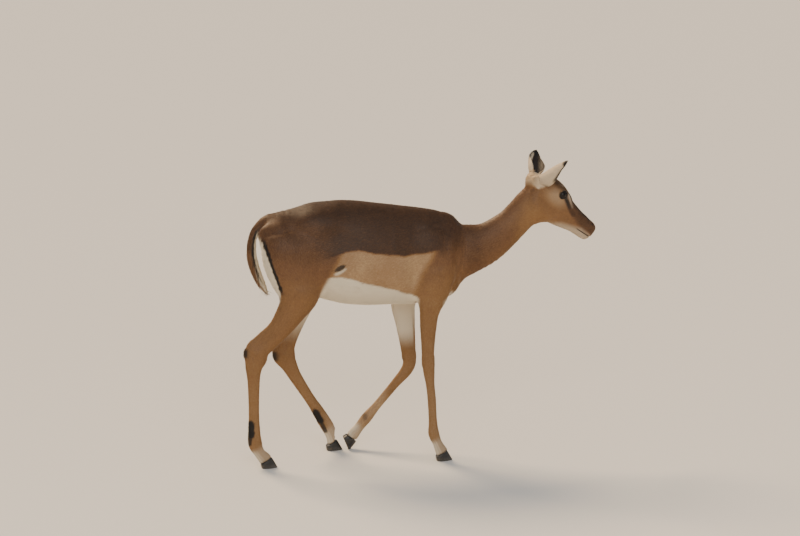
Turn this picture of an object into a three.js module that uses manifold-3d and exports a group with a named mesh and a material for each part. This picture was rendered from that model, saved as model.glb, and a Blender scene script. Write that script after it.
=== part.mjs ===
// Impala ewe, life size, walking, as a still display model.
//
// The body is one continuous form: elliptical sections strung on smooth spines, and ellipsoids for
// muscle and bone, all blended into a single field. Each node is a closed net over that field, parted
// from its neighbours by thin plane cuts. Ears, eyes and hooves are shells and solids of their own.
//
// Millimetres. X runs forward, Y to the animal's left, Z up, and the ground is Z = 0.

import * as THREE from 'three';
import { mergeVertices } from 'three/addons/utils/BufferGeometryUtils.js';
import Module from 'manifold-3d';

const wasm = await Module();
wasm.setup();

// ---------------------------------------------------------------- driving dimensions

const CUT_GAP = 0.3;            // between two neighbouring nodes
const LEAST_EDGE = 0.45;        // a shorter edge is closed up
const TRACK = 84;               // a foot's distance from the middle plane
const HALF_SPACE = 3000;        // edge of the block that stands for a half space

// How wide two forms run into each other.
const BLEND = { neck: 60, muscle: 40, limb: 34, stifle: 22, joint: 10, face: 14 };

const HEAD = {
  pivot: new THREE.Vector3(600, 9, 900),    // middle of the poll
  turn: THREE.MathUtils.degToRad(8),        // to the left
  slope: THREE.MathUtils.degToRad(38),      // nose below the poll
};

const EYE = { along: 76, above: 60, out: 38.5, radius: 16 };
const EAR = { length: 130, radius: 15, thickness: 4, least: 2 };
const EARS = {
  right: { base: [-24, 60, -33], toward: [0.085, 0.77, -0.635], opening: [1, -0.1, 0.1], lean: 0.9 },
  left: { base: [-24, 58, 33], toward: [0.02, 0.55, 0.85], opening: [-0.15, 0.88, -0.44], lean: 0.6 },
};
const HOOF = { length: 54, width: 16.5, parting: 1.6, front: [20, 36], back: [57, 15] };

// Cuts between nodes: a point of each plane and its direction.
const PLANES = {
  neckBase: [365, 0, 730, 0.936, 0, 0.352],
  throat: [614, 0, 865, 0.929, 0, 0.371],
};

// Stations of the trunk and neck: x, y, z, reach above, reach below, half width, and how much
// narrower the section is at its top than at its middle.
const TRUNK = [
  [-318, 0, 800, 44, 70, 50, 0.05],
  [-262, 0, 787, 90, 112, 80, 0.1],
  [-190, 0, 765, 135, 158, 97, 0.1],
  [-110, 0, 745, 160, 176, 110, 0.1],
  [-30, 0, 735, 167, 190, 119, 0.1],
  [50, 0, 726, 165, 190, 122, 0.1],
  [130, 0, 720, 160, 184, 116, 0.12],
  [210, 0, 715, 153, 180, 103, 0.18],
  [275, 0, 707, 144, 158, 86, 0.25],
  [322, 0, 700, 116, 116, 70, 0.2],
  [360, 0, 696, 84, 78, 52, 0.1],
];
const NECK = [
  [300, 0, 702, 106, 106, 70, 0.2],
  [377, 0, 717, 89, 89, 60, 0.1],
  [449, 1, 739, 71, 71, 49, 0],
  [523, 4, 790, 59, 57, 41, 0],
  [564, 7, 828, 58, 55, 38, 0],
  [603, 9, 862, 63, 60, 41, 0],
  [632, 12, 884, 55, 52, 38, 0],
];
const TAIL = [
  [-262, 0, 850, 22, 22, 20, 0],
  [-300, 0, 842, 16, 18, 18, 0],
  [-334, 0, 815, 14, 15, 18, 0],
  [-350, 0, 775, 15, 15, 20, 0],
  [-353, 0, 730, 16, 16, 21, 0],
  [-345, 0, 685, 16, 16, 20, 0],
  [-329, 0, 640, 14, 14, 16, 0],
  [-308, 0, 598, 7, 7, 9, 0],
];

// Stations of the head, along its own sloping axis: distance along, height of its top line and of
// its lower line, half width, and how much wider the section is at its top.
const HEAD_STATIONS = [
  [-16, 62, -52, 38, 0],
  [6, 80, -58, 42, 0.1],
  [30, 90, -60, 44, 0.15],
  [55, 91, -60, 44, 0.2],
  [80, 87, -57, 42, 0.25],
  [105, 78, -50, 37, 0.2],
  [130, 66, -43, 31, 0.1],
  [160, 58, -35, 26, 0],
  [190, 52, -28, 23.5, 0],
  [215, 49, -26, 22.5, 0],
  [238, 44, -22, 21.5, 0],
  [256, 35, -17, 18.5, 0],
  [267, 26, -11, 14, 0],
];

// Stations of the legs, from the body to the hoof: x, z, reach forward, reach back, half width,
// distance outward of the track, and how much narrower the section is at its front. A hoof has its
// toe's place, the pitch by which its heel is raised, and how far its tip is worn flat.
const LEGS = {
  hind_right: {
    side: -1,
    thigh: [
      [-258, 815, 58, 56, 40, -24, 0],
      [-245, 745, 86, 84, 46, -16, 0],
      [-218, 676, 84, 88, 45, -8, 0],
      [-192, 618, 66, 78, 40, -4, 0],
      [-176, 578, 50, 66, 34, -3, 0],
    ],
    shank: [
      [-176, 650, 44, 52, 36, -6, 0],
      [-191, 602, 58, 70, 41, -3, 0],
      [-225, 549, 50, 54, 34, 0, 0],
      [-269, 487, 40, 41, 26, 1, -0.2],
      [-311, 441, 36, 45, 18, 1, -0.4],
      [-343, 410, 32, 47, 18, 1, -0.3],
      [-356, 394, 30, 40, 17, 1, -0.2],
    ],
    cannon: [
      [-354, 438, 24, 30, 12, 1, 0],
      [-352, 412, 36, 43, 16, 1, 0],
      [-350, 387, 40, 43, 18, 1, 0],
      [-357, 350, 28, 31, 17, 1, 0],
      [-359, 300, 22, 22, 14, 0, 0],
      [-359, 200, 19, 19, 12.5, 0, 0],
      [-358, 130, 21, 22, 13, 0, 0],
      [-355, 85, 24, 25, 17, 0, 0],
      [-342, 55, 19, 20, 16, 0, 0],
      [-324, 33, 22, 23, 17, 0, 0],
      [-316, 22, 20, 20, 15, 0, 0],
    ],
    hoof: { toe: -281, pitch: 0, press: 0 },
    knee: { at: [-352, 372], tilt: 10 },
  },
  hind_left: {
    side: 1,
    thigh: [
      [-258, 815, 58, 56, 40, -24, 0],
      [-232, 745, 86, 84, 46, -16, 0],
      [-184, 682, 80, 88, 45, -8, 0],
      [-148, 628, 62, 76, 40, -4, 0],
      [-128, 588, 46, 60, 34, -3, 0],
    ],
    shank: [
      [-120, 660, 42, 52, 36, -6, 0],
      [-136, 606, 56, 66, 40, -3, 0],
      [-168, 540, 44, 50, 34, 0, 0],
      [-203, 452, 34, 35, 25, 1, -0.2],
      [-225, 393, 32, 33, 18, 1, -0.4],
      [-236, 352, 34, 38, 18, 1, -0.3],
      [-240, 334, 32, 34, 17, 1, -0.2],
    ],
    cannon: [
      [-250, 390, 22, 24, 12, 1, 0],
      [-243, 366, 32, 36, 16, 1, 0],
      [-236, 342, 38, 40, 18, 1, 0],
      [-218, 306, 28, 29, 17, 1, 0],
      [-196, 263, 22, 23, 14, 0, 0],
      [-151, 188, 19, 19, 12.5, 0, 0],
      [-124, 145, 21, 21, 13, 0, 0],
      [-97, 99, 23, 24, 16, 0, 0],
      [-85, 76, 22, 23, 17, 0, 0],
      [-76, 52, 19, 20, 16, 0, 0],
      [-70, 33, 22, 22, 17, 0, 0],
      [-68, 22, 20, 20, 15, 0, 0],
    ],
    hoof: { toe: -38, pitch: 0, press: 0 },
    knee: { at: [-232, 322], tilt: -22 },
  },
  fore_right: {
    side: -1,
    thigh: [
      [236, 815, 40, 44, 17, -31, 0],
      [262, 740, 50, 56, 25, -18, 0],
      [284, 668, 46, 60, 30, -11, 0],
      [288, 640, 40, 52, 28, -10, 0],
    ],
    shank: [
      [292, 690, 38, 50, 26, -12, 0],
      [276, 630, 46, 62, 33, -7, 0],
      [250, 577, 50, 54, 30, -4, 0],
      [238, 523, 36, 35, 24, 0, 0],
      [235, 470, 29, 30, 20, 0, 0],
      [233, 411, 24, 24, 17, 0, 0],
      [234, 362, 20, 21, 15.5, 0, 0],
      [235, 325, 18, 18, 14, 0, 0],
    ],
    cannon: [
      [234, 385, 17, 17, 13, 0, 0],
      [235, 356, 20, 21, 16, 0, 0],
      [236, 332, 21, 21, 17.5, 0, 0],
      [238, 305, 19, 19, 17, 0, 0],
      [242, 270, 15, 16, 13.5, 0, 0],
      [247, 215, 15, 15, 12, 0, 0],
      [251, 140, 15, 15, 12, 0, 0],
      [254, 96, 19, 19, 16, 0, 0],
      [267, 62, 16, 17, 14.5, 0, 0],
      [280, 34, 20, 21, 16.5, 0, 0],
      [287, 22, 19, 19, 15, 0, 0],
    ],
    hoof: { toe: 318, pitch: 0, press: 0 },
    knee: { at: [236, 352], tilt: 0 },
  },
  fore_left: {
    side: 1,
    thigh: [
      [226, 815, 40, 44, 17, -31, 0],
      [250, 740, 50, 56, 25, -18, 0],
      [262, 668, 46, 60, 30, -11, 0],
      [262, 640, 40, 52, 28, -10, 0],
    ],
    shank: [
      [262, 690, 38, 50, 26, -12, 0],
      [232, 630, 50, 62, 33, -7, 0],
      [188, 568, 52, 52, 29, -4, 0],
      [173, 512, 44, 44, 24, 0, 0],
      [179, 450, 36, 36, 20, 0, 0],
      [186, 385, 29, 29, 17, 0, 0],
      [191, 338, 25, 25, 16, 0, 0],
      [193, 305, 20, 20, 14, 0, 0],
    ],
    cannon: [
      [192, 352, 17, 18, 13, 0, 0],
      [194, 324, 23, 24, 16, 0, 0],
      [193, 296, 23, 22, 17.5, 0, 0],
      [180, 268, 20, 20, 16.5, 0, 0],
      [148, 231, 16, 16, 13.5, 0, 0],
      [116, 193, 15, 15, 12, 0, 0],
      [79, 149, 15, 15, 12, 0, 0],
      [47, 111, 19, 19, 16, 0, 0],
      [22, 80, 17, 17, 14.5, 0, 0],
      [0, 52, 20, 20, 16, 0, 0],
      [-8, 40, 18, 18, 15, 0, 0],
    ],
    hoof: { toe: -16, pitch: 68, press: 5 },
    knee: { at: [192, 338], tilt: -11 },
  },
};

// ---------------------------------------------------------------- forms

const LEFT = new THREE.Vector3(0, 1, 0);
const UP = new THREE.Vector3(0, 0, 1);
const HEAD_LEFT = new THREE.Vector3(-Math.sin(HEAD.turn), Math.cos(HEAD.turn), 0);
const HEAD_AHEAD = new THREE.Vector3(Math.cos(HEAD.turn), Math.sin(HEAD.turn), 0);

/** A point of the head: along its sloping axis, above that axis, and out to the animal's left. */
function headPoint(along, above, out) {
  const ahead = along * Math.cos(HEAD.slope) + above * Math.sin(HEAD.slope);
  const rise = above * Math.cos(HEAD.slope) - along * Math.sin(HEAD.slope);
  return HEAD.pivot.clone()
    .addScaledVector(HEAD_AHEAD, ahead)
    .addScaledVector(UP, rise)
    .addScaledVector(HEAD_LEFT, out);
}

/** Rows of numbers with a smooth run of further rows between each two. */
function fairRows(rows, steps) {
  const last = rows.length - 1;
  const row = (i) => rows[THREE.MathUtils.clamp(i, 0, last)];
  const fair = [];
  for (let i = 0; i < last; i += 1) {
    for (let k = 0; k < steps; k += 1) {
      const t = k / steps;
      fair.push(row(i).map((b, j) => {
        const [a, c, d] = [row(i - 1)[j], row(i + 1)[j], row(i + 2)[j]];
        const bend = (2 * a - 5 * b + 4 * c - d) * t * t + (3 * b - a - 3 * c + d) * t * t * t;
        return (2 * b + (c - a) * t + bend) / 2;
      }));
    }
  }
  fair.push(rows[last]);
  return fair;
}

/** Elliptical sections on a smooth spine; the field is the distance from their skin. */
function loft(rows, { side = LEFT, caps = [0, 0], steps = 5 } = {}) {
  const fair = fairRows(rows, steps);
  const spine = fair.map(([x, y, z]) => new THREE.Vector3(x, y, z));
  const normals = spine.map((p, i) => {
    const before = spine[Math.max(i - 1, 0)];
    const after = spine[Math.min(i + 1, spine.length - 1)];
    return after.clone().sub(before).cross(side).normalize();
  });
  const lengths = spine.map((p, i) => (i ? p.distanceTo(spine[i - 1]) : 0));
  const run = lengths.map((_, i) => lengths.slice(0, i + 1).reduce((a, b) => a + b, 0));
  const total = run.at(-1);
  const dome = run.map((s) => {
    const start = caps[0] ? THREE.MathUtils.clamp(1 - s / caps[0], 0, 1) : 0;
    const end = caps[1] ? THREE.MathUtils.clamp(1 - (total - s) / caps[1], 0, 1) : 0;
    return Math.sqrt(1 - Math.max(start, end) ** 2);
  });
  const least = 0.3;
  const sections = fair.map((row, i) => [
    Math.max(row[3] * dome[i], least),
    Math.max(row[4] * dome[i], least),
    Math.max(row[5] * dome[i], least),
    row[6],
  ]);
  const v = new THREE.Vector3();
  const ray = new THREE.Vector3();
  const normal = new THREE.Vector3();
  return (p) => {
    let nearest = Infinity;
    let at = 0;
    let part = 0;
    for (let i = 0; i < spine.length - 1; i += 1) {
      ray.subVectors(spine[i + 1], spine[i]);
      v.subVectors(p, spine[i]);
      const t = THREE.MathUtils.clamp(v.dot(ray) / ray.lengthSq(), 0, 1);
      const d = v.addScaledVector(ray, -t).lengthSq();
      if (d < nearest) {
        nearest = d;
        at = i;
        part = t;
      }
    }
    const mix = (k) => THREE.MathUtils.lerp(sections[at][k], sections[at + 1][k], part);
    ray.subVectors(spine[at + 1], spine[at]).normalize();
    normal.lerpVectors(normals[at], normals[at + 1], part);
    v.lerpVectors(spine[at], spine[at + 1], part).sub(p).negate();
    const pastEnd = (at === 0 && part === 0) || (at === spine.length - 2 && part === 1);
    const off = pastEnd ? Math.abs(v.dot(ray)) : 0;
    const [above, below] = [mix(0), mix(1)];
    const height = (above + below) / 2;
    const lateral = v.dot(side);
    const across = Math.sqrt(Math.max(v.lengthSq() - lateral * lateral - off * off, 0));
    const up = Math.sign(v.dot(normal)) * across - (above - below) / 2;
    const narrowing = 1 - mix(3) * THREE.MathUtils.clamp(up / height, -1, 1);
    const half = mix(2) * THREE.MathUtils.clamp(narrowing, 0.3, 2);
    const ratio = Math.max(Math.hypot(up / height, lateral / half), 0.05);
    const depth = Math.max(Math.hypot(up, lateral) * (1 - 1 / ratio), -Math.min(height, half));
    return off > 0 ? Math.hypot(Math.max(depth, 0), off) : depth;
  };
}

/** An ellipsoid; its axes are the world's, or the head's when it is placed there. */
function ball(centre, radii, axes = [new THREE.Vector3(1, 0, 0), LEFT, UP]) {
  const v = new THREE.Vector3();
  return (p) => {
    v.subVectors(p, centre);
    const near = axes.map((axis, i) => v.dot(axis) / radii[i]);
    const ratio = Math.max(Math.hypot(...near), 0.01);
    const slope = Math.hypot(...near.map((n, i) => n / radii[i]));
    return ((ratio - 1) * ratio) / Math.max(slope, 1e-6);
  };
}

/** The lower of two distances, rounded over a width where they meet. */
function blend(a, b, width) {
  const h = Math.max(width - Math.abs(a - b), 0) / width;
  return Math.min(a, b) - (h * h * width) / 4;
}

const HEAD_AXES = [
  headPoint(1, 0, 0).sub(HEAD.pivot),
  HEAD_LEFT,
  headPoint(0, 1, 0).sub(HEAD.pivot),
];

/** Each leg's three lofts, as one field. */
function legField(name) {
  const leg = LEGS[name];
  const place = ([x, z, ahead, back, half, out, taper]) => [
    x, leg.side * (TRACK + out), z, ahead, back, half, taper,
  ];
  const caps = { thigh: [40, 40], shank: [40, 16], cannon: [18, 8] };
  const [thigh, shank, cannon] = ['thigh', 'shank', 'cannon'].map((part) => (
    loft(leg[part].map(place), { caps: caps[part] })
  ));
  return (p) => blend(blend(thigh(p), shank(p), BLEND.stifle), cannon(p), BLEND.joint);
}

const headRows = HEAD_STATIONS.map(([along, top, low, half, spread]) => {
  const { x, y, z } = headPoint(along, (top + low) / 2, 0);
  return [x, y, z, (top - low) / 2, (top - low) / 2, half, -spread];
});

const both = (make) => [-1, 1].map(make);
const skull = loft(headRows, { side: HEAD_LEFT, caps: [26, 12] });
const faceForms = [
  ...both((s) => ball(headPoint(73, 60, s * 32), [28, 15, 24], HEAD_AXES)),      // orbit
  ...both((s) => ball(headPoint(62, -8, s * 24), [48, 17, 38], HEAD_AXES)),      // cheek muscle
  ...both((s) => ball(headPoint(-14, 50, s * 27), [28, 18, 20], HEAD_AXES)),     // ear root
  ball(headPoint(-25, 42, 6), [24, 26, 24], HEAD_AXES),                          // poll
  ...both((s) => ball(headPoint(243, 26, s * 10), [18, 12, 16], HEAD_AXES)),     // nostril wing
  ball(headPoint(240, -10, 0), [20, 15, 12], HEAD_AXES),                         // chin
];
const headField = (p) => faceForms.reduce((d, form) => blend(d, form(p), BLEND.face), skull(p));

const trunkLoft = loft(TRUNK, { caps: [46, 52] });
const neckLoft = loft(NECK, { caps: [40, 30] });
const tailField = loft(TAIL, { caps: [0, 22] });
const bodyForms = [
  ...both((s) => ball(new THREE.Vector3(-130, s * 58, 845), [52, 26, 34])),       // hip bone
  ...both((s) => ball(new THREE.Vector3(-300, s * 42, 800), [34, 28, 42])),       // seat bone
  ball(new THREE.Vector3(296, 0, 596), [52, 38, 44]),                             // brisket
];
const legFields = Object.fromEntries(Object.keys(LEGS).map((name) => [name, legField(name)]));

/** The whole body but for ears and tail: negative inside, positive outside. */
function bodyField(p) {
  let d = blend(trunkLoft(p), neckLoft(p), BLEND.neck);
  for (const form of bodyForms) d = blend(d, form(p), BLEND.muscle);
  for (const field of Object.values(legFields)) d = blend(d, field(p), BLEND.limb);
  return blend(d, headField(p), BLEND.limb);
}

// ---------------------------------------------------------------- nets over the field

/** How fast the field grows at a point, along each axis. */
function gradient(field, p) {
  const step = 0.5;
  const q = p.clone();
  return new THREE.Vector3(...['x', 'y', 'z'].map((axis) => {
    q[axis] = p[axis] + step;
    const ahead = field(q);
    q[axis] = p[axis] - step;
    const behind = field(q);
    q[axis] = p[axis];
    return (ahead - behind) / (2 * step);
  }));
}

/** A closed net where the field is zero: cells of the given size fill a box on its base's middle. */
function net(field, { base, size, cell, turn = 0 }) {
  const count = size.map((s, i) => Math.ceil(s / cell[i]) + 1);
  const frame = new THREE.Matrix4().makeTranslation(...base)
    .multiply(new THREE.Matrix4().makeRotationY(turn))
    .multiply(new THREE.Matrix4().makeTranslation(
      -((count[0] - 1) * cell[0]) / 2,
      -((count[1] - 1) * cell[1]) / 2,
      0,
    ));
  const key = (i, j, k) => (k * count[1] + j) * count[0] + i;
  const corner = (i, j, k) => (
    new THREE.Vector3(i * cell[0], j * cell[1], k * cell[2]).applyMatrix4(frame)
  );
  const values = new Float64Array(count[0] * count[1] * count[2]);
  for (let k = 0; k < count[2]; k += 1) {
    for (let j = 0; j < count[1]; j += 1) {
      for (let i = 0; i < count[0]; i += 1) {
        const edge = [i, j, k].some((n, axis) => n === 0 || n === count[axis] - 1);
        const value = field(corner(i, j, k));
        values[key(i, j, k)] = edge ? Math.max(value, 1) : value;
      }
    }
  }
  const steps = [[1, 0, 0], [0, 1, 0], [0, 0, 1]];
  const points = [];
  const index = new Map();
  for (let k = 0; k < count[2] - 1; k += 1) {
    for (let j = 0; j < count[1] - 1; j += 1) {
      for (let i = 0; i < count[0] - 1; i += 1) {
        const crossings = [];
        steps.forEach((step, axis) => {
          const [u, w] = steps.filter((_, other) => other !== axis);
          for (const [a, b] of [[0, 0], [1, 0], [0, 1], [1, 1]]) {
            const from = [i, j, k].map((n, c) => n + a * u[c] + b * w[c]);
            const to = from.map((n, c) => n + step[c]);
            const [f, g] = [values[key(...from)], values[key(...to)]];
            if ((f < 0) !== (g < 0)) {
              crossings.push(corner(...from).lerp(corner(...to), f / (f - g)));
            }
          }
        });
        if (crossings.length) {
          const mean = new THREE.Vector3();
          crossings.forEach((c) => mean.add(c));
          index.set(key(i, j, k), points.length);
          points.push(mean.divideScalar(crossings.length));
        }
      }
    }
  }
  settle(points, field, Math.min(...cell) / 2);
  const triangles = [];
  for (let k = 0; k < count[2] - 1; k += 1) {
    for (let j = 0; j < count[1] - 1; j += 1) {
      for (let i = 0; i < count[0] - 1; i += 1) {
        steps.forEach((step, axis) => {
          const f = values[key(i, j, k)];
          const g = values[key(i + step[0], j + step[1], k + step[2])];
          if ((f < 0) === (g < 0)) return;
          const u = steps[(axis + 1) % 3];
          const w = steps[(axis + 2) % 3];
          const cells = [[0, 0], [1, 0], [1, 1], [0, 1]].map(([a, b]) => (
            index.get(key(...[i, j, k].map((n, c) => n - a * u[c] - b * w[c])))
          ));
          if (f >= 0) cells.reverse();
          triangles.push(...splitQuad(cells, points));
        });
      }
    }
  }
  return { points, triangles };
}

/** Moves each point onto the field's zero surface, by no more than a limit. */
function settle(points, field, limit) {
  for (const p of points) {
    const start = p.clone();
    for (let round = 0; round < 4; round += 1) {
      const slope = gradient(field, p);
      p.addScaledVector(slope, -field(p) / Math.max(slope.lengthSq(), 0.2));
    }
    const moved = p.clone().sub(start);
    if (moved.length() > limit) p.copy(start).add(moved.setLength(limit));
  }
}

/** Two triangles for four corners, over the shorter diagonal. */
function splitQuad([a, b, c, d], points) {
  const short = points[a].distanceTo(points[c]) <= points[b].distanceTo(points[d]);
  return short ? [a, b, c, a, c, d] : [a, b, d, b, c, d];
}

// ---------------------------------------------------------------- solids

function solidOf({ points, triangles }) {
  const vertProperties = new Float32Array(points.flatMap((p) => [p.x, p.y, p.z]));
  const triVerts = new Uint32Array(triangles);
  return new wasm.Manifold(new wasm.Mesh({ numProp: 3, vertProperties, triVerts }));
}

function solidOfGeometry(geometry) {
  geometry.deleteAttribute('normal');
  geometry.deleteAttribute('uv');
  const merged = mergeVertices(geometry, 1e-4);
  const place = merged.attributes.position;
  const points = Array.from({ length: place.count }, (_, i) => (
    new THREE.Vector3().fromBufferAttribute(place, i)
  ));
  return solidOf({ points, triangles: Array.from(merged.index.array) });
}

/** The biggest of a solid's separate bodies. */
function largestOf(solid) {
  return solid.decompose().reduce((a, b) => (b.volume() > a.volume() ? b : a));
}

/** A solid's mesh, with the edges that cuts have left too short closed up. */
function geometryOf(solid) {
  const { numProp, vertProperties, triVerts } = solid.getMesh();
  const points = Array.from({ length: vertProperties.length / numProp }, (_, i) => (
    new THREE.Vector3(...vertProperties.subarray(i * numProp, i * numProp + 3))
  ));
  const stand = points.map((_, i) => i);
  const standFor = (i) => (stand[i] === i ? i : standFor(stand[i]));
  const faces = Array.from({ length: triVerts.length / 3 }, (_, i) => (
    [...triVerts.subarray(3 * i, 3 * i + 3)]
  ));
  for (const face of faces) {
    face.forEach((a, i) => {
      const b = face[(i + 1) % 3];
      if (points[a].distanceTo(points[b]) < LEAST_EDGE) stand[standFor(a)] = standFor(b);
    });
  }
  const kept = new Map();
  for (const face of faces.map((corners) => corners.map(standFor))) {
    if (new Set(face).size < 3) continue;
    const key = face.toSorted((a, b) => a - b).join();
    if (!kept.delete(key)) kept.set(key, face);
  }
  const geometry = new THREE.BufferGeometry().setFromPoints(points);
  geometry.setIndex([...kept.values()].flat());
  geometry.computeVertexNormals();
  return geometry;
}

/** Everything on the far side of a plane, which runs through a point, along its normal. */
function halfSpace(point, normal) {
  const block = new THREE.BoxGeometry(HALF_SPACE, HALF_SPACE, HALF_SPACE);
  block.translate(0, 0, HALF_SPACE / 2);
  const turn = new THREE.Quaternion().setFromUnitVectors(UP, normal.clone().normalize());
  block.applyQuaternion(turn);
  block.translate(point.x, point.y, point.z);
  return solidOfGeometry(block);
}

/** The space that a list of planes [x, y, z, nx, ny, nz] encloses, with half a gap taken off. */
function region(planes, gap = CUT_GAP / 2) {
  return planes.map(([x, y, z, ...direction]) => {
    const normal = new THREE.Vector3(...direction).normalize();
    return halfSpace(new THREE.Vector3(x, y, z).addScaledVector(normal, gap), normal);
  }).reduce((a, b) => a.intersect(b));
}

const flip = ([x, y, z, a, b, c]) => [x, y, z, -a, -b, -c];

/** Planes round the top of a leg, with the leg on their far side. */
function legTop(name) {
  const { side } = LEGS[name];
  if (name.startsWith('fore')) {
    return [[0, 0, 566, 0, 0, -1], [0, side * 36, 0, 0, side, 0], [330, 0, 0, -1, 0, 0]];
  }
  const front = name === 'hind_left' ? -62 : -92;
  return [[-345, 0, 700, -0.3, 0, -0.95], [0, 0, 0, 0, side, 0], [front, 0, 0, -1, 0, 0]];
}

/** The plane across the hock or the knee, with the lower leg on its far side. */
function jointPlane(name) {
  const { at: [x, z], tilt } = LEGS[name].knee;
  const angle = THREE.MathUtils.degToRad(tilt);
  return [x, 0, z, Math.sin(angle), 0, -Math.cos(angle)];
}

/** A foot's own frame: its origin is the tip of the toe, X runs to the toe and Z is up the hoof. */
function footFrame(name) {
  const { side, hoof: { toe, pitch, press } } = LEGS[name];
  return new THREE.Matrix4().makeTranslation(toe, side * TRACK, -press)
    .multiply(new THREE.Matrix4().makeRotationY(THREE.MathUtils.degToRad(pitch)));
}

/** The plane of the coronet, with the hoof on its far side. */
function coronetPlane(name) {
  const [front, back] = [HOOF.front, HOOF.back];
  const frame = footFrame(name);
  const middle = new THREE.Vector3(-(front[0] + back[0]) / 2, 0, (front[1] + back[1]) / 2);
  const slope = Math.atan2(front[1] - back[1], back[0] - front[0]);
  const normal = new THREE.Vector3(Math.sin(slope), 0, -Math.cos(slope)).transformDirection(frame);
  return [...middle.applyMatrix4(frame), ...normal];
}

// ---------------------------------------------------------------- ears, eyes and hooves

/** A closed solid from rings of points that run from one end to the other. */
function solidOfRings(rings) {
  const around = rings[0].length;
  const points = rings.flat();
  const triangles = [];
  for (let i = 0; i < rings.length - 1; i += 1) {
    for (let j = 0; j < around; j += 1) {
      const k = (j + 1) % around;
      const [a, b] = [i * around + j, i * around + k];
      triangles.push(...splitQuad([a, b, b + around, a + around], points));
    }
  }
  [0, rings.length - 1].forEach((ring, end) => {
    const middle = points.length;
    const mean = new THREE.Vector3();
    rings[ring].forEach((p) => mean.add(p));
    points.push(mean.divideScalar(around));
    for (let j = 0; j < around; j += 1) {
      const [a, b] = [ring * around + j, ring * around + ((j + 1) % around)];
      triangles.push(...(end ? [a, b, middle] : [b, a, middle]));
    }
  });
  return solidOf({ points, triangles });
}

/** Stations along an ear, a leaf rolled into a cup: a tube at its root, open towards its tip. */
function earStations(sideName) {
  const { base, toward, opening, lean } = EARS[sideName];
  const foot = headPoint(...base);
  const inBody = (v) => headPoint(...v).sub(HEAD.pivot).normalize();
  const axis = inBody(toward);
  const across = new THREE.Vector3().crossVectors(inBody(opening), axis).normalize();
  const open = new THREE.Vector3().crossVectors(axis, across);
  const [steps, sides, buried] = [8, 7, 0.2];
  return Array.from({ length: steps + 1 }, (_, i) => {
    const t = i / steps;
    const swell = Math.sin(Math.PI * Math.min(0.2 + 0.62 * t, 1)) ** 0.8;
    const taper = Math.max(1 - t ** 2.7, 0.002) ** 0.6;
    const spread = THREE.MathUtils.lerp(2.5, 0.95, Math.min(t * 1.25, 1));
    const root = Math.min(0.55 + 1.8 * t, 1);
    const full = EAR.radius * 1.55 * (1 + 1.35 * swell * t ** 0.5);
    const radius = (root * full * taper) / (1 + spread * 0.25);
    const wall = THREE.MathUtils.lerp(EAR.thickness, EAR.least, t) * (0.35 + 0.65 * taper);
    const arc = (r, deeper = 0) => Array.from({ length: sides }, (_, j) => {
      const angle = spread * ((2 * j) / (sides - 1) - 1);
      return foot.clone()
        .addScaledVector(axis, (t * (1 + buried) - buried) * EAR.length - deeper)
        .addScaledVector(across, r * Math.sin(angle))
        .addScaledVector(open, radius * lean - r * Math.cos(angle));
    });
    return { radius, wall, arc, open };
  });
}

function earSolid(sideName) {
  return solidOfRings(earStations(sideName).map(({ radius, wall, arc }) => (
    [...arc(radius + wall / 2), ...arc(Math.max(radius - wall / 2, 0.4)).reverse()]
  )));
}

/** An ear with its mouth filled, a little larger all round: what the head makes way for. */
function earPlug(sideName) {
  return solidOfRings(earStations(sideName).map(({ radius, wall, arc, open }, i) => {
    const outside = arc(radius + wall / 2 + CUT_GAP, i ? 0 : CUT_GAP);
    const lip = open.clone().multiplyScalar(wall + CUT_GAP);
    return [...outside, outside.at(-1).clone().add(lip), outside[0].clone().add(lip)];
  }));
}

const eyeAt = (s) => headPoint(EYE.along, EYE.above, s * EYE.out);

function eyeSolid(s, grow) {
  const globe = new THREE.SphereGeometry(EYE.radius + grow, 12, 7);
  globe.translate(...eyeAt(s));
  return solidOfGeometry(globe);
}

// Half a hoof's outline, from the heel round the outside to the toe and back along the inside:
// fractions of its length behind the toe, and of its width.
const CLAW = [
  [1, 0.35], [0.95, 0.78], [0.76, 1], [0.5, 0.97], [0.26, 0.74], [0.08, 0.42],
  [0, 0.16], [0.02, 0], [0.35, 0], [0.7, 0], [0.97, 0.06],
];

/** One claw of a hoof, from its flat sole up to the coronet. */
function clawSolid(name, s) {
  const frame = footFrame(name);
  const { front, back, length, width, parting } = HOOF;
  const levels = [0, 0.5, 1];
  const place = (x, y, z) => new THREE.Vector3(x, y, z).applyMatrix4(frame);
  const rings = levels.map((t) => CLAW.map(([behind, wide]) => {
    const sole = [-length * behind, 0];
    const top = [
      -THREE.MathUtils.lerp(front[0], back[0], behind),
      THREE.MathUtils.lerp(front[1], back[1], behind),
    ];
    const bulge = 1 + 0.06 * Math.sin(Math.PI * t);
    const y = s * (parting / 2 + wide * width * bulge);
    return place(THREE.MathUtils.lerp(sole[0], top[0], t), y, THREE.MathUtils.lerp(sole[1], top[1], t));
  }));
  if (s > 0) rings.forEach((ring) => ring.reverse());
  return solidOfRings(rings);
}

// ---------------------------------------------------------------- materials and nodes

const coat = (colour) => new THREE.MeshStandardMaterial({ color: colour, roughness: 0.75, metalness: 0 });
const MATERIALS = {
  back: coat('#7a4a2a'),
  neck: coat('#8f5f38'),
  leg: coat('#a5784a'),
  ear: coat('#c7a57a'),
  tail: coat('#8a5a36'),
  horn: new THREE.MeshStandardMaterial({ color: '#23201d', roughness: 0.45, metalness: 0 }),
  eye: new THREE.MeshStandardMaterial({ color: '#120d0a', roughness: 0.1, metalness: 0 }),
};

const impala = new THREE.Group();
impala.name = 'impala';

function addNode(name, solid, material) {
  const mesh = new THREE.Mesh(geometryOf(solid), material);
  mesh.name = name;
  impala.add(mesh);
  return mesh;
}

const legNames = Object.keys(LEGS);

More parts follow.
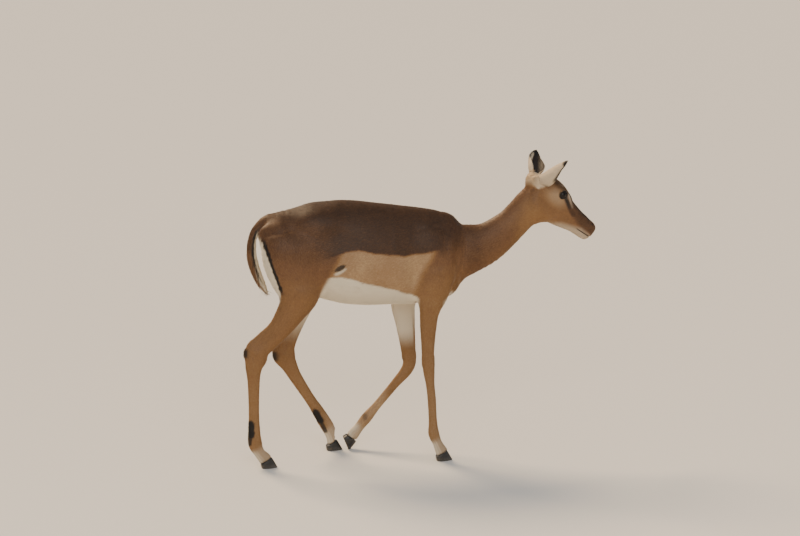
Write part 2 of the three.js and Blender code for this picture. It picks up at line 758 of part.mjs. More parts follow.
let trunk = solidOf(net(bodyField, {
  base: [10, 0, 465], size: [840, 330, 500], cell: [45, 33, 32],
})).intersect(region([flip(PLANES.neckBase)]));
for (const name of legNames) {
  trunk = trunk.subtract(region(legTop(name), -CUT_GAP / 2));
}

/** The tail as far as it stands clear of the rump, thickened by a margin. */
function tailClear(margin) {
  const tail = net((p) => tailField(p) - margin, {
    base: [-322, 0, 562], size: [130, 80, 340], cell: [12, 12, 26],
  });
  const rump = net((p) => bodyField(p) + margin - 2 * CUT_GAP, {
    base: [-290, 0, 640], size: [180, 104, 260], cell: [14, 14, 15],
  });
  return largestOf(solidOf(tail).subtract(solidOf(rump)));
}

addNode('trunk', trunk.subtract(tailClear(3 * CUT_GAP)), MATERIALS.back);
addNode('tail', tailClear(0), MATERIALS.tail);

const neckNet = solidOf(net(bodyField, {
  base: [500, 5, 600], size: [420, 220, 380], cell: [27, 19, 27],
}));
addNode('neck', neckNet.intersect(region([PLANES.neckBase, flip(PLANES.throat)])), MATERIALS.neck);

const headNet = solidOf(net(bodyField, {
  base: [700, 20, 690], size: [330, 200, 320], cell: [15.4, 13, 15.4],
}));
let head = headNet.intersect(region([PLANES.throat]));
for (const [s, sideName] of [[-1, 'right'], [1, 'left']]) {
  addNode(`eye_${sideName}`, eyeSolid(s, 0), MATERIALS.eye);
  addNode(`ear_${sideName}`, earSolid(sideName), MATERIALS.ear);
  head = head.subtract(eyeSolid(s, CUT_GAP)).subtract(earPlug(sideName));
}
addNode('head', largestOf(head), MATERIALS.neck);

const UPPER_NETS = {
  hind: { base: [-225, 0, 290], size: [400, 160, 450], cell: [23, 17, 28] },
  fore: { base: [225, 0, 280], size: [210, 150, 320], cell: [17, 15, 28] },
};
const LOWER_NETS = {
  hind_right: { base: [-350, 0, -20], size: [160, 66, 440], cell: [12.5, 10.5, 28], turn: 0 },
  hind_left: { base: [-50, 0, -10], size: [170, 66, 470], cell: [12.5, 10.5, 28], turn: -0.5 },
  fore_right: { base: [260, 0, -20], size: [150, 66, 420], cell: [12.5, 10.5, 28], turn: 0 },
  fore_left: { base: [-30, 0, -16], size: [150, 66, 500], cell: [12.5, 10.5, 28], turn: 0.7 },
};
for (const name of legNames) {
  const { side } = LEGS[name];
  const upper = UPPER_NETS[name.slice(0, 4)];
  const lower = LOWER_NETS[name];
  const placed = ({ base: [x, , z], ...rest }) => ({ base: [x, side * (TRACK - 10), z], ...rest });
  const joint = jointPlane(name);
  const coronet = coronetPlane(name);
  const thigh = solidOf(net(bodyField, placed(upper))).intersect(region(legTop(name)));
  addNode(`${name}_upper`, thigh.subtract(region([joint], -CUT_GAP / 2)), MATERIALS.leg);
  const lowerNet = solidOf(net(legFields[name], placed(lower)));
  const shin = lowerNet.intersect(region([joint])).subtract(region([coronet], -CUT_GAP / 2));
  addNode(`${name}_lower`, shin, MATERIALS.leg);
  const ground = region([[0, 0, 0, 0, 0, 1]], 0);
  for (const [s, claw] of [[side, 'outer'], [-side, 'inner']]) {
    addNode(`hoof_${name}_${claw}`, clawSolid(name, s).intersect(ground), MATERIALS.horn);
  }
}

const extent = new THREE.Box3().setFromObject(impala);
const middle = extent.getCenter(new THREE.Vector3());
impala.position.set(-middle.x, -middle.y, -extent.min.z);

export default impala;
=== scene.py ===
"""Impala ewe, life size, walking, as a still display model: its skin, coat, eyes and hooves.

The body is worked out in millimetres in its own frame, X forward, Y to the animal's left and Z up
from the ground. mesh_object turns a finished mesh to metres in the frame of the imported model.
"""

import itertools
import math

import bmesh
import bpy
import numpy as np
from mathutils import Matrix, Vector


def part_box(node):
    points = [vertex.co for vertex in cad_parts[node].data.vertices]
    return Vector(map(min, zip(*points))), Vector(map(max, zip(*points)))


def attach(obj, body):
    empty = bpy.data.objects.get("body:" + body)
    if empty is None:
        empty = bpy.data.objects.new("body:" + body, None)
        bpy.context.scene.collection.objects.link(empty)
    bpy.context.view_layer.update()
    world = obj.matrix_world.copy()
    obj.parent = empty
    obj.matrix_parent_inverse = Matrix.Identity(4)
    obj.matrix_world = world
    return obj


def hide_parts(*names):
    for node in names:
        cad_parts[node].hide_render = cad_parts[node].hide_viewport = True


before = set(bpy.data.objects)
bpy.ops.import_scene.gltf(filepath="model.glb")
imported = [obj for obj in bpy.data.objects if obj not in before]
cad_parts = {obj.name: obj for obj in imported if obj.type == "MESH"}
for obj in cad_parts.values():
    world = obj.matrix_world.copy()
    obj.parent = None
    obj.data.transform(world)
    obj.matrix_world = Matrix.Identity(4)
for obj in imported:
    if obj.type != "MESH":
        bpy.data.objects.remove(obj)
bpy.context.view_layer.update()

# ---------------------------------------------------------------- driving dimensions, mm

TRACK = 84                     # a foot's distance from the middle plane
# Widths over which neighbouring forms run into each other.
BLEND = {"neck": 84, "muscle": 54, "limb": 34, "stifle": 22, "joint": 10, "face": 14, "tail": 12}
HEAD_PIVOT = np.array([600.0, 9.0, 900.0])
HEAD_TURN = math.radians(8)
HEAD_SLOPE = math.radians(38)
HEAD_START = 560               # no part of the head lies behind this
NECK_START = 365               # where the neck's coat starts
LEG_TOP = 470                  # below this there is nothing but the legs
EYE = {"along": 76, "above": 60, "out": 38.5, "radius": 16.0}
EAR = {"length": 130, "radius": 15, "thickness": 3.2, "least": 1.6}
# Each ear's root, its way to the tip and its opening: along, above and to the left of the head's
# axis. Its leaf stands off its axis by lean, in radii.
EARS = {
    "right": {
        "base": (-24, 60, -33), "toward": (0.085, 0.77, -0.635), "opening": (1, -0.1, 0.1), "lean": 0.9,
    },
    "left": {
        "base": (-24, 58, 33), "toward": (0.02, 0.55, 0.85), "opening": (-0.15, 0.88, -0.44), "lean": 0.6,
    },
}
# front and back: how far behind the toe and how high the coronet starts and ends.
HOOF = {"length": 54, "width": 16.5, "parting": 1.6, "front": (20, 36), "back": (57, 15)}
COAT_DEPTH = {"body": 2.6, "shin": 1.6, "face": 1.1}

# Stations of the trunk, neck and tail: x, y, z, reach above, reach below, half width, and how much
# narrower the section is at its top.
TRUNK = [
    (-318, 0, 800, 44, 70, 50, 0.05),
    (-262, 0, 787, 90, 112, 80, 0.1),
    (-190, 0, 765, 135, 158, 97, 0.1),
    (-110, 0, 745, 160, 176, 110, 0.1),
    (-30, 0, 735, 167, 190, 119, 0.1),
    (50, 0, 726, 165, 190, 122, 0.1),
    (130, 0, 720, 160, 184, 116, 0.12),
    (210, 0, 715, 153, 180, 103, 0.18),
    (275, 0, 707, 144, 158, 86, 0.25),
    (322, 0, 700, 116, 116, 70, 0.2),
    (360, 0, 696, 84, 78, 52, 0.1),
]
NECK = [
    (300, 0, 702, 106, 106, 70, 0.2),
    (377, 0, 717, 89, 89, 60, 0.1),
    (449, 1, 739, 71, 71, 49, 0),
    (523, 4, 790, 59, 57, 41, 0),
    (564, 7, 828, 58, 55, 38, 0),
    (603, 9, 862, 63, 60, 41, 0),
    (632, 12, 884, 55, 52, 38, 0),
]
TAIL = [
    (-262, 0, 835, 10, 17, 18, 0),
    (-300, 0, 842, 16, 18, 18, 0),
    (-334, 0, 815, 14, 15, 18, 0),
    (-350, 0, 775, 15, 15, 20, 0),
    (-353, 0, 730, 16, 16, 21, 0),
    (-345, 0, 685, 16, 16, 20, 0),
    (-329, 0, 640, 14, 14, 16, 0),
    (-308, 0, 598, 7, 7, 9, 0),
]

# Stations of the head, along its own sloping axis: distance along, height of its top line and of
# its lower line, half width, and how much wider the section is at its top.
HEAD = [
    (-16, 62, -52, 38, 0),
    (6, 80, -58, 42, 0.1),
    (30, 90, -60, 44, 0.15),
    (55, 91, -60, 44, 0.2),
    (80, 87, -57, 42, 0.25),
    (105, 78, -50, 37, 0.2),
    (130, 66, -43, 31, 0.1),
    (160, 58, -35, 26, 0),
    (190, 52, -28, 23.5, 0),
    (215, 49, -26, 22.5, 0),
    (238, 44, -22, 21.5, 0),
    (256, 35, -17, 18.5, 0),
    (267, 26, -11, 14, 0),
]

# Stations of the legs, from the body to the hoof: x, z, reach forward, reach back, half width,
# distance outward of the track, and how much narrower the section is at its front. A hoof has its
# toe's place, the pitch by which its heel is raised, and how far its tip is worn flat.
LEGS = {
    "hind_right": {
        "side": -1,
        "thigh": [
            (-258, 815, 58, 56, 40, -24, 0),
            (-245, 745, 86, 84, 46, -16, 0),
            (-218, 676, 84, 88, 45, -8, 0),
            (-192, 618, 66, 78, 40, -4, 0),
            (-176, 578, 50, 66, 34, -3, 0),
        ],
        "shank": [
            (-176, 650, 44, 52, 36, -6, 0),
            (-191, 602, 58, 70, 41, -3, 0),
            (-225, 549, 50, 54, 34, 0, 0),
            (-269, 487, 40, 41, 26, 1, -0.2),
            (-311, 441, 36, 45, 18, 1, -0.4),
            (-343, 410, 32, 47, 18, 1, -0.3),
            (-356, 394, 30, 40, 17, 1, -0.2),
        ],
        "cannon": [
            (-354, 438, 24, 30, 12, 1, 0),
            (-352, 412, 36, 43, 16, 1, 0),
            (-350, 387, 40, 43, 18, 1, 0),
            (-357, 350, 28, 31, 17, 1, 0),
            (-359, 300, 22, 22, 14, 0, 0),
            (-359, 200, 19, 19, 12.5, 0, 0),
            (-358, 130, 21, 22, 13, 0, 0),
            (-355, 85, 24, 25, 17, 0, 0),
            (-342, 55, 19, 20, 16, 0, 0),
            (-324, 33, 22, 23, 17, 0, 0),
            (-316, 22, 20, 20, 15, 0, 0),
        ],
        "hoof": {"toe": -281, "pitch": 0, "press": 0},
    },
    "hind_left": {
        "side": 1,
        "thigh": [
            (-258, 815, 58, 56, 40, -24, 0),
            (-232, 745, 86, 84, 46, -16, 0),
            (-184, 682, 80, 88, 45, -8, 0),
            (-148, 628, 62, 76, 40, -4, 0),
            (-128, 588, 46, 60, 34, -3, 0),
        ],
        "shank": [
            (-120, 660, 42, 52, 36, -6, 0),
            (-136, 606, 56, 66, 40, -3, 0),
            (-168, 540, 44, 50, 34, 0, 0),
            (-203, 452, 34, 35, 25, 1, -0.2),
            (-225, 393, 32, 33, 18, 1, -0.4),
            (-236, 352, 34, 38, 18, 1, -0.3),
            (-240, 334, 32, 34, 17, 1, -0.2),
        ],
        "cannon": [
            (-250, 390, 22, 24, 12, 1, 0),
            (-243, 366, 32, 36, 16, 1, 0),
            (-236, 342, 38, 40, 18, 1, 0),
            (-218, 306, 28, 29, 17, 1, 0),
            (-196, 263, 22, 23, 14, 0, 0),
            (-151, 188, 19, 19, 12.5, 0, 0),
            (-124, 145, 21, 21, 13, 0, 0),
            (-97, 99, 23, 24, 16, 0, 0),
            (-85, 76, 22, 23, 17, 0, 0),
            (-76, 52, 19, 20, 16, 0, 0),
            (-70, 33, 22, 22, 17, 0, 0),
            (-68, 22, 20, 20, 15, 0, 0),
        ],
        "hoof": {"toe": -38, "pitch": 0, "press": 0},
    },
    "fore_right": {
        "side": -1,
        "thigh": [
            (236, 815, 40, 44, 17, -31, 0),
            (262, 740, 50, 56, 25, -18, 0),
            (284, 668, 46, 60, 30, -11, 0),
            (288, 640, 40, 52, 28, -10, 0),
        ],
        "shank": [
            (292, 690, 38, 50, 26, -12, 0),
            (276, 630, 46, 62, 33, -7, 0),
            (250, 577, 50, 54, 30, -4, 0),
            (238, 523, 36, 35, 24, 0, 0),
            (235, 470, 29, 30, 20, 0, 0),
            (233, 411, 24, 24, 17, 0, 0),
            (234, 362, 20, 21, 15.5, 0, 0),
            (235, 325, 18, 18, 14, 0, 0),
        ],
        "cannon": [
            (234, 385, 17, 17, 13, 0, 0),
            (235, 356, 20, 21, 16, 0, 0),
            (236, 332, 21, 21, 17.5, 0, 0),
            (238, 305, 19, 19, 17, 0, 0),
            (242, 270, 15, 16, 13.5, 0, 0),
            (247, 215, 15, 15, 12, 0, 0),
            (251, 140, 15, 15, 12, 0, 0),
            (254, 96, 19, 19, 16, 0, 0),
            (267, 62, 16, 17, 14.5, 0, 0),
            (280, 34, 20, 21, 16.5, 0, 0),
            (287, 22, 19, 19, 15, 0, 0),
        ],
        "hoof": {"toe": 318, "pitch": 0, "press": 0},
    },
    "fore_left": {
        "side": 1,
        "thigh": [
            (226, 815, 40, 44, 17, -31, 0),
            (250, 740, 50, 56, 25, -18, 0),
            (262, 668, 46, 60, 30, -11, 0),
            (262, 640, 40, 52, 28, -10, 0),
        ],
        "shank": [
            (262, 690, 38, 50, 26, -12, 0),
            (232, 630, 50, 62, 33, -7, 0),
            (188, 568, 52, 52, 29, -4, 0),
            (173, 512, 44, 44, 24, 0, 0),
            (179, 450, 36, 36, 20, 0, 0),
            (186, 385, 29, 29, 17, 0, 0),
            (191, 338, 25, 25, 16, 0, 0),
            (193, 305, 20, 20, 14, 0, 0),
        ],
        "cannon": [
            (192, 352, 17, 18, 13, 0, 0),
            (194, 324, 23, 24, 16, 0, 0),
            (193, 296, 23, 22, 17.5, 0, 0),
            (180, 268, 20, 20, 16.5, 0, 0),
            (148, 231, 16, 16, 13.5, 0, 0),
            (116, 193, 15, 15, 12, 0, 0),
            (79, 149, 15, 15, 12, 0, 0),
            (47, 111, 19, 19, 16, 0, 0),
            (22, 80, 17, 17, 14.5, 0, 0),
            (0, 52, 20, 20, 16, 0, 0),
            (-8, 40, 18, 18, 15, 0, 0),
        ],
        "hoof": {"toe": -16, "pitch": 68, "press": 5},
    },
}
LEG_CAPS = {"thigh": (76, 40), "shank": (40, 16), "cannon": (18, 8)}

# ---------------------------------------------------------------- vectors


def unit(v):
    """Each row at length 1."""
    return v / np.maximum(np.linalg.norm(v, axis=-1, keepdims=True), 1e-9)


def lengths(v):
    """Each row's length."""
    return np.linalg.norm(v, axis=1)


def ramp(x, low, high):
    """0 up to low, 1 from high on, and a smooth rise between them."""
    t = np.clip((x - low) / (high - low), 0, 1)
    return t * t * (3 - 2 * t)


def bump(x, width):
    """1 at 0, fading to nothing at a few widths."""
    return np.exp(-(x / width) ** 2)


LEFT = np.array([0.0, 1.0, 0.0])
UP = np.array([0.0, 0.0, 1.0])
HEAD_LEFT = np.array([-math.sin(HEAD_TURN), math.cos(HEAD_TURN), 0.0])
HEAD_AHEAD = np.array([math.cos(HEAD_TURN), math.sin(HEAD_TURN), 0.0])
HEAD_AXIS = HEAD_AHEAD * math.cos(HEAD_SLOPE) - UP * math.sin(HEAD_SLOPE)
HEAD_TOP = HEAD_AHEAD * math.sin(HEAD_SLOPE) + UP * math.cos(HEAD_SLOPE)
HEAD_AXES = np.array([HEAD_AXIS, HEAD_LEFT, HEAD_TOP])
WORLD_AXES = np.eye(3)


def head_point(along, above, out):
    return HEAD_PIVOT + HEAD_AXIS * along + HEAD_TOP * above + HEAD_LEFT * out


def head_places(p):
    """Each point's distance along the head, above its axis and to its left."""
    v = p - HEAD_PIVOT
    return v @ HEAD_AXIS, v @ HEAD_TOP, v @ HEAD_LEFT


def in_head(v):
    """A direction given along the head, above it and to its left."""
    return unit(HEAD_AXIS * v[0] + HEAD_TOP * v[1] + HEAD_LEFT * v[2])


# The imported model's frame lies off the body's own by what parts the right eye in the two.
low_corner, high_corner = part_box("eye_right")
EYE_RIGHT = head_point(EYE["along"], EYE["above"], -EYE["out"])
SHIFT = np.array((low_corner + high_corner) / 2) - EYE_RIGHT / 1000

# ---------------------------------------------------------------- the body's form


def curve_steps(a, b, c, d, steps):
    """Even steps of a smooth curve from b towards c, which a and d bend."""
    points = []
    for t in (k / steps for k in range(steps)):
        bend = (2 * a - 5 * b + 4 * c - d) * t ** 2 + (3 * b - a - 3 * c + d) * t ** 3
        points.append((2 * b + (c - a) * t + bend) / 2)
    return points


def fair_rows(rows, steps=5):
    """Rows of numbers with a smooth run of further rows between each two."""
    rows = np.array(rows, float)
    last = len(rows) - 1
    fair = []
    for i in range(last):
        fair += curve_steps(*(rows[min(max(i + k, 0), last)] for k in (-1, 0, 1, 2)), steps)
    return np.array([*fair, rows[last]])


MARGIN = 64                    # beyond this from a form's box its exact distance doesn't matter


class Loft:
    """Elliptical sections on a smooth spine, as a field of distances from their skin."""

    def __init__(self, rows, caps, side=LEFT, groove=0.0):
        fair = fair_rows(rows)
        count = np.arange(len(fair))
        self.side = side
        self.groove = groove
        self.spine = fair[:, :3]
        before = self.spine[np.maximum(count - 1, 0)]
        after = self.spine[np.minimum(count + 1, len(fair) - 1)]
        self.normals = unit(np.cross(after - before, side))
        steps = lengths(np.diff(self.spine, axis=0))
        self.run = np.concatenate([[0], np.cumsum(steps)])
        start = np.clip(1 - self.run / caps[0], 0, 1) if caps[0] else 0
        end = np.clip(1 - (self.run[-1] - self.run) / caps[1], 0, 1) if caps[1] else 0
        dome = np.sqrt(1 - np.maximum(start, end) ** 2)
        self.sections = np.column_stack([np.maximum(fair[:, 3:6] * dome[:, None], 0.3), fair[:, 6]])
        reach = fair[:, 3:6].max() + MARGIN
        self.low = self.spine.min(0) - reach
        self.high = self.spine.max(0) + reach

    def place(self, p):
        """Each point's nearest step of the spine, and how far along that step."""
        nearest = np.full(len(p), np.inf)
        at = np.zeros(len(p), int)
        part = np.zeros(len(p))
        for i, ray in enumerate(np.diff(self.spine, axis=0)):
            v = p - self.spine[i]
            t = np.clip(v @ ray / (ray @ ray), 0, 1)
            d = ((v - t[:, None] * ray) ** 2).sum(1)
            closer = d < nearest
            nearest[closer] = d[closer]
            at[closer] = i
            part[closer] = t[closer]
        return at, part

    def mix(self, values, at, part):
        part = part if values.ndim == 1 else part[:, None]
        return values[at] * (1 - part) + values[at + 1] * part

    def measure(self, p):
        """Distance from the skin, sideways and upward places in the section, and run of the spine."""
        at, part = self.place(p)
        ray = unit(self.spine[at + 1] - self.spine[at])
        v = p - self.mix(self.spine, at, part)
        past = ((at == 0) & (part == 0)) | ((at == len(self.spine) - 2) & (part == 1))
        off = np.where(past, np.abs((v * ray).sum(1)), 0)
        above, below, half, taper = self.mix(self.sections, at, part).T
        height = (above + below) / 2
        lateral = v @ self.side
        across = np.sqrt(np.maximum((v * v).sum(1) - lateral ** 2 - off ** 2, 0))
        facing = (v * self.mix(self.normals, at, part)).sum(1)
        up = np.sign(facing) * across - (above - below) / 2
        half = half * np.clip(1 - taper * np.clip(up / height, -1, 1), 0.3, 2)
        ratio = np.maximum(np.hypot(up / height, lateral / half), 0.05)
        depth = np.maximum(np.hypot(up, lateral) * (1 - 1 / ratio), -np.minimum(height, half))
        if self.groove:
            depth = depth + self.groove * bump(up / height + 0.3, 0.22) * np.clip(lateral / half, -1, 1) ** 2
        distance = np.where(off > 0, np.hypot(np.maximum(depth, 0), off), depth)
        return distance, lateral, up, self.mix(self.run, at, part)

    def field(self, p):
        return near_box(self.low, self.high, p, lambda q: self.measure(q)[0])

    def tangent(self, p):
        """The spine's direction beside each point."""
        at, part = self.place(p)
        ahead = np.gradient(self.spine, axis=0)
        return unit(self.mix(ahead, at, part))


def near_box(low, high, p, field):
    """A field worked out only near its form, and the distance from its box elsewhere."""
    outside = np.maximum(np.maximum(low - p, p - high), 0)
    d = MARGIN + lengths(outside)
    near = ~outside.any(1)
    if near.any():
        d[near] = field(p[near])
    return d


def ball(centre, radii, axes=WORLD_AXES):
    """An ellipsoid's field."""
    centre = np.array(centre, float)
    radii = np.array(radii, float)
    reach = radii.max() + MARGIN

    def distance(p):
        near = (p - centre) @ axes.T / radii
        ratio = np.maximum(lengths(near), 0.01)
        slope = lengths(near / radii)
        return (ratio - 1) * ratio / np.maximum(slope, 1e-6)

    return lambda p: near_box(centre - reach, centre + reach, p, distance)


def blend(a, b, width):
    """The lower of two distances, rounded over a width where they meet."""
    h = np.maximum(width - np.abs(a - b), 0) / width
    return np.minimum(a, b) - h * h * width / 4


def carve(a, b, width):
    """The first form without the second, rounded over a width."""
    return -blend(-a, b, width)


def leg_rows(name, part):
    side = LEGS[name]["side"]
    return [
        (x, side * (TRACK + out), z, ahead, back, half, taper)
        for x, z, ahead, back, half, out, taper in LEGS[name][part]
    ]


head_rows = [
    (*head_point(along, (top + low) / 2, 0), (top - low) / 2, (top - low) / 2, half, -spread)
    for along, top, low, half, spread in HEAD
]
LOFTS = {
    "trunk": Loft(TRUNK, (46, 52)),
    "neck": Loft(NECK, (40, 30)),
    "head": Loft(head_rows, (26, 12), HEAD_LEFT),
    "tail": Loft(TAIL, (0, 22)),
}
for leg_name, leg_part in itertools.product(LEGS, LEG_CAPS):
    leg_groove = 1.3 if leg_part == "cannon" else 0
    LOFTS[f"{leg_name}_{leg_part}"] = Loft(
        leg_rows(leg_name, leg_part), LEG_CAPS[leg_part], groove=leg_groove,
    )
BOTH = (-1, 1)


def face_pair(along, above, out, radii):
    return [ball(head_point(along, above, s * out), radii, HEAD_AXES) for s in BOTH]


def body_pair(x, y, z, radii):
    return [ball((x, s * y, z), radii) for s in BOTH]


def hock_pair(x, z, side, turn):
    """The hollows on both sides of a hock, before its tendon."""
    lean = np.array([[math.cos(turn), 0, -math.sin(turn)], LEFT, [math.sin(turn), 0, math.cos(turn)]])
    return [ball((x, side * TRACK + s * 27, z), (10, 13, 40), lean) for s in BOTH]


# Bones and muscles that stand out from the lofts, and hollows between them.
FACE_FORMS = [
    *face_pair(73, 60, 32, (28, 15, 24)),                        # orbit
    *face_pair(62, -8, 24, (48, 17, 38)),                        # cheek muscle
    *face_pair(-14, 50, 27, (28, 18, 20)),                       # ear root
    ball(head_point(-25, 42, 6), (24, 26, 24), HEAD_AXES),       # poll
    *face_pair(243, 26, 10, (18, 12, 16)),                       # nostril wing
    ball(head_point(240, -10, 0), (20, 15, 12), HEAD_AXES),      # chin
]
FACE_HOLLOWS = [
    *face_pair(112, 36, 49, (26, 14, 16)),                       # before the eye
    *face_pair(168, 2, 37, (34, 13, 12)),                        # cheek pouch
    *face_pair(36, 62, 58, (16, 14, 14)),                        # temple
]
BODY_FORMS = [
    *body_pair(-130, 54, 838, (56, 28, 34)),                     # hip bone
    *body_pair(-296, 40, 798, (36, 28, 42)),                     # seat bone
    ball((296, 0, 596), (52, 38, 44)),                           # brisket
]
NAPE = ball((600, 9, 932), (18, 24, 20))
BODY_HOLLOWS = [
    *body_pair(-62, 146, 806, (66, 44, 40)),                     # flank
    *body_pair(196, 142, 640, (22, 40, 90)),                     # behind the elbow
    *body_pair(-205, 157, 780, (36, 44, 74)),                    # behind the hip
    *body_pair(330, 97, 690, (26, 26, 50)),                      # before the shoulder
]
HOCK_HOLLOWS = [*hock_pair(-330, 452, -1, 0.75), *hock_pair(-222, 408, 1, 0.42)]


def loft_fields(p):
    """A column of distances for each loft."""
    return np.column_stack([loft.field(p) for loft in LOFTS.values()])


def leg_field(name, p):
    thigh, shank, cannon = (LOFTS[f"{name}_{part}"].field(p) for part in LEG_CAPS)
    return blend(blend(thigh, shank, BLEND["stifle"]), cannon, BLEND["joint"])


def head_field(p):
    loft = LOFTS["head"]

    def face(q):
        d = loft.measure(q)[0]
        for form in FACE_FORMS:
            d = blend(d, form(q), BLEND["face"])
        for hollow in FACE_HOLLOWS:
            d = carve(d, hollow(q), BLEND["face"])
        return d

    return near_box(loft.low, loft.high, p, face)


def body_field(p):
    """The whole body but for its ears: negative inside, positive outside."""
    d = blend(LOFTS["trunk"].field(p), LOFTS["neck"].field(p), BLEND["neck"])
    for form in BODY_FORMS:
        d = blend(d, form(p), BLEND["muscle"])
    for hollow in BODY_HOLLOWS:
        d = carve(d, hollow(p), BLEND["limb"])
    for name in LEGS:
        d = blend(d, leg_field(name, p), BLEND["limb"] + 26 * ramp(p[:, 2], 680, 780))
    for hollow in HOCK_HOLLOWS:
        d = carve(d, hollow(p), BLEND["joint"])
    d = blend(d, head_field(p), BLEND["limb"])
    d = blend(d, NAPE(p), BLEND["stifle"])
    distance, _, _, run = LOFTS["tail"].measure(p)
    root = ramp(run, 75, 30) * (np.abs(distance) < MARGIN)
    return blend(d, LOFTS["tail"].field(p), BLEND["tail"] + 22 * root)


def coat_depth(p):
    """How far the skin lies under the coat's tips."""
    along = head_places(p)[0]
    shin = ramp(p[:, 2], 420, 260)
    depth = COAT_DEPTH["body"] + (COAT_DEPTH["shin"] - COAT_DEPTH["body"]) * shin
    face = ramp(along, -30, 40)
    return depth + (COAT_DEPTH["face"] - depth) * face


def foot_frame(name):
    """The tip of a toe, and a foot's own forward and upward directions."""
    hoof = LEGS[name]["hoof"]
    pitch = math.radians(hoof["pitch"])
    tip = np.array([hoof["toe"], LEGS[name]["side"] * TRACK, -hoof["press"]], float)
    ahead = np.array([math.cos(pitch), 0, -math.sin(pitch)])
    up = np.array([math.sin(pitch), 0, math.cos(pitch)])
    return tip, ahead, up


def coronet(name):
    """A point of the plane that parts the hoof from the leg, and its direction towards the hoof."""
    tip, ahead, up = foot_frame(name)
    (x0, z0), (x1, z1) = HOOF["front"], HOOF["back"]
    slope = math.atan2(z0 - z1, x1 - x0)
    middle = tip - ahead * (x0 + x1) / 2 + up * (z0 + z1) / 2
    return middle, ahead * math.sin(slope) - up * math.cos(slope)


SKIN_IN_HOOF = 4               # how far the skin runs down inside a hoof
FOOT_REACH = 60                # a foot's parts all lie within this of its coronet


def skin_field(p):
    """The skin's own field; each leg ends a little inside its hoof."""
    d = body_field(p) + coat_depth(p)
    for name in LEGS:
        point, down = coronet(name)
        foot = np.abs(p - point).max(1) < FOOT_REACH
        beyond = (p[foot] - point) @ down - SKIN_IN_HOOF
        d[foot] = carve(d[foot], -beyond, 3)
    return d


def slopes(field, p, step=0.4):
    """The field at each point, and how fast it grows along each axis."""
    here = field(p)
    return here, np.column_stack([(field(p + axis * step) - here) / step for axis in WORLD_AXES])


def settle(field, p, rounds=3, limit=6.0):
    """Moves points onto the field's zero surface, by no more than a limit."""
    start = p
    for _ in range(rounds):
        here, slope = slopes(field, p)
        p = p - slope * (here / np.maximum((slope ** 2).sum(1), 0.2))[:, None]
    moved = p - start
    length = np.linalg.norm(moved, axis=1, keepdims=True)
    return start + moved * np.minimum(1, limit / np.maximum(length, 1e-9))


# ---------------------------------------------------------------- meshes

COARSE = 20                    # cells that find the skin
FINE = 5                       # cells that draw it
MUZZLE = 190                   # the muzzle lies beyond this along the head


def grid_points(low, count, cell):
    axes = [low[i] + cell * np.arange(count[i]) for i in range(3)]
    return np.stack(np.meshgrid(*axes, indexing="ij"), axis=-1).reshape(-1, 3)


def field_values(field, low, high):
    """The field on a fine grid: exact near the skin, and read off a coarse grid elsewhere."""
    count = np.ceil((high - low) / COARSE).astype(int) + 1
    rough = field(grid_points(low, count, COARSE)).reshape(count)
    ratio = COARSE // FINE
    for axis in range(3):
        last = rough.shape[axis] - 1
        at = np.arange(last * ratio + 1) / ratio
        base = np.minimum(at.astype(int), last - 1)
        part = (at - base).reshape([-1 if i == axis else 1 for i in range(3)])
        rough = np.take(rough, base, axis) * (1 - part) + np.take(rough, base + 1, axis) * part
    near = np.abs(rough) < COARSE * 0.9
    rough[near] = field(low + FINE * np.argwhere(near))
    return rough


def net(values, low, cell):
    """A closed net of four-sided faces where the values are zero."""
    inside = values < 0
    size = np.array(values.shape)
    corners = np.zeros(size - 1, np.int8)
    for i, j, k in itertools.product((0, 1), repeat=3):
        corners += inside[i:size[0] - 1 + i, j:size[1] - 1 + j, k:size[2] - 1 + k]
    active = (corners > 0) & (corners < 8)
    cells = np.argwhere(active)
    index = np.full(active.shape, -1)
    index[active] = np.arange(len(cells))
    total = np.zeros((len(cells), 3))
    hits = np.zeros(len(cells))
    steps = np.eye(3, dtype=int)
    for axis, a, b in itertools.product(range(3), (0, 1), (0, 1)):
        start = cells + a * steps[(axis + 1) % 3] + b * steps[(axis + 2) % 3]
        f = values[tuple(start.T)]
        g = values[tuple((start + steps[axis]).T)]
        cut = (f < 0) != (g < 0)
        part = f[cut] / (f[cut] - g[cut])
        total[cut] += start[cut] + part[:, None] * steps[axis]
        hits[cut] += 1
    points = low + cell * total / hits[:, None]
    faces = []
    for axis in range(3):
        ahead = np.roll(inside, -1, axis)
        edge = inside != ahead
        edge[tuple(slice(-1, None) if i == axis else slice(None) for i in range(3))] = False
        nodes = np.argwhere(edge)
        u, w = steps[(axis + 1) % 3], steps[(axis + 2) % 3]
        around = [nodes, nodes - u, nodes - u - w, nodes - w]
        ring = np.column_stack([index[tuple(n.T)] for n in around])
        outward = inside[tuple(nodes.T)]
        ring[~outward] = ring[~outward][:, ::-1]
        faces.append(ring)
    return points, np.vstack(faces)


def new_object(name, data):
    thing = bpy.data.objects.new(name, data)
    bpy.context.scene.collection.objects.link(thing)
    return thing


def mesh_object(name, points, faces, body_mm=True):
    """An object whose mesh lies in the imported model's frame, in metres."""
    mesh = bpy.data.meshes.new(name)
    points = points / 1000 + SHIFT if body_mm else points
    faces = np.asarray(faces)
    sides = faces.shape[1]
    mesh.vertices.add(len(points))
    mesh.vertices.foreach_set("co", np.ascontiguousarray(points, np.float32).ravel())
    mesh.loops.add(faces.size)
    mesh.loops.foreach_set("vertex_index", np.ascontiguousarray(faces, np.int32).ravel())
    mesh.polygons.add(len(faces))
    mesh.polygons.foreach_set("loop_start", np.arange(len(faces), dtype=np.int32) * sides)
    mesh.polygons.foreach_set("use_smooth", np.ones(len(faces), bool))
    mesh.update(calc_edges=True)
    return new_object(name, mesh)


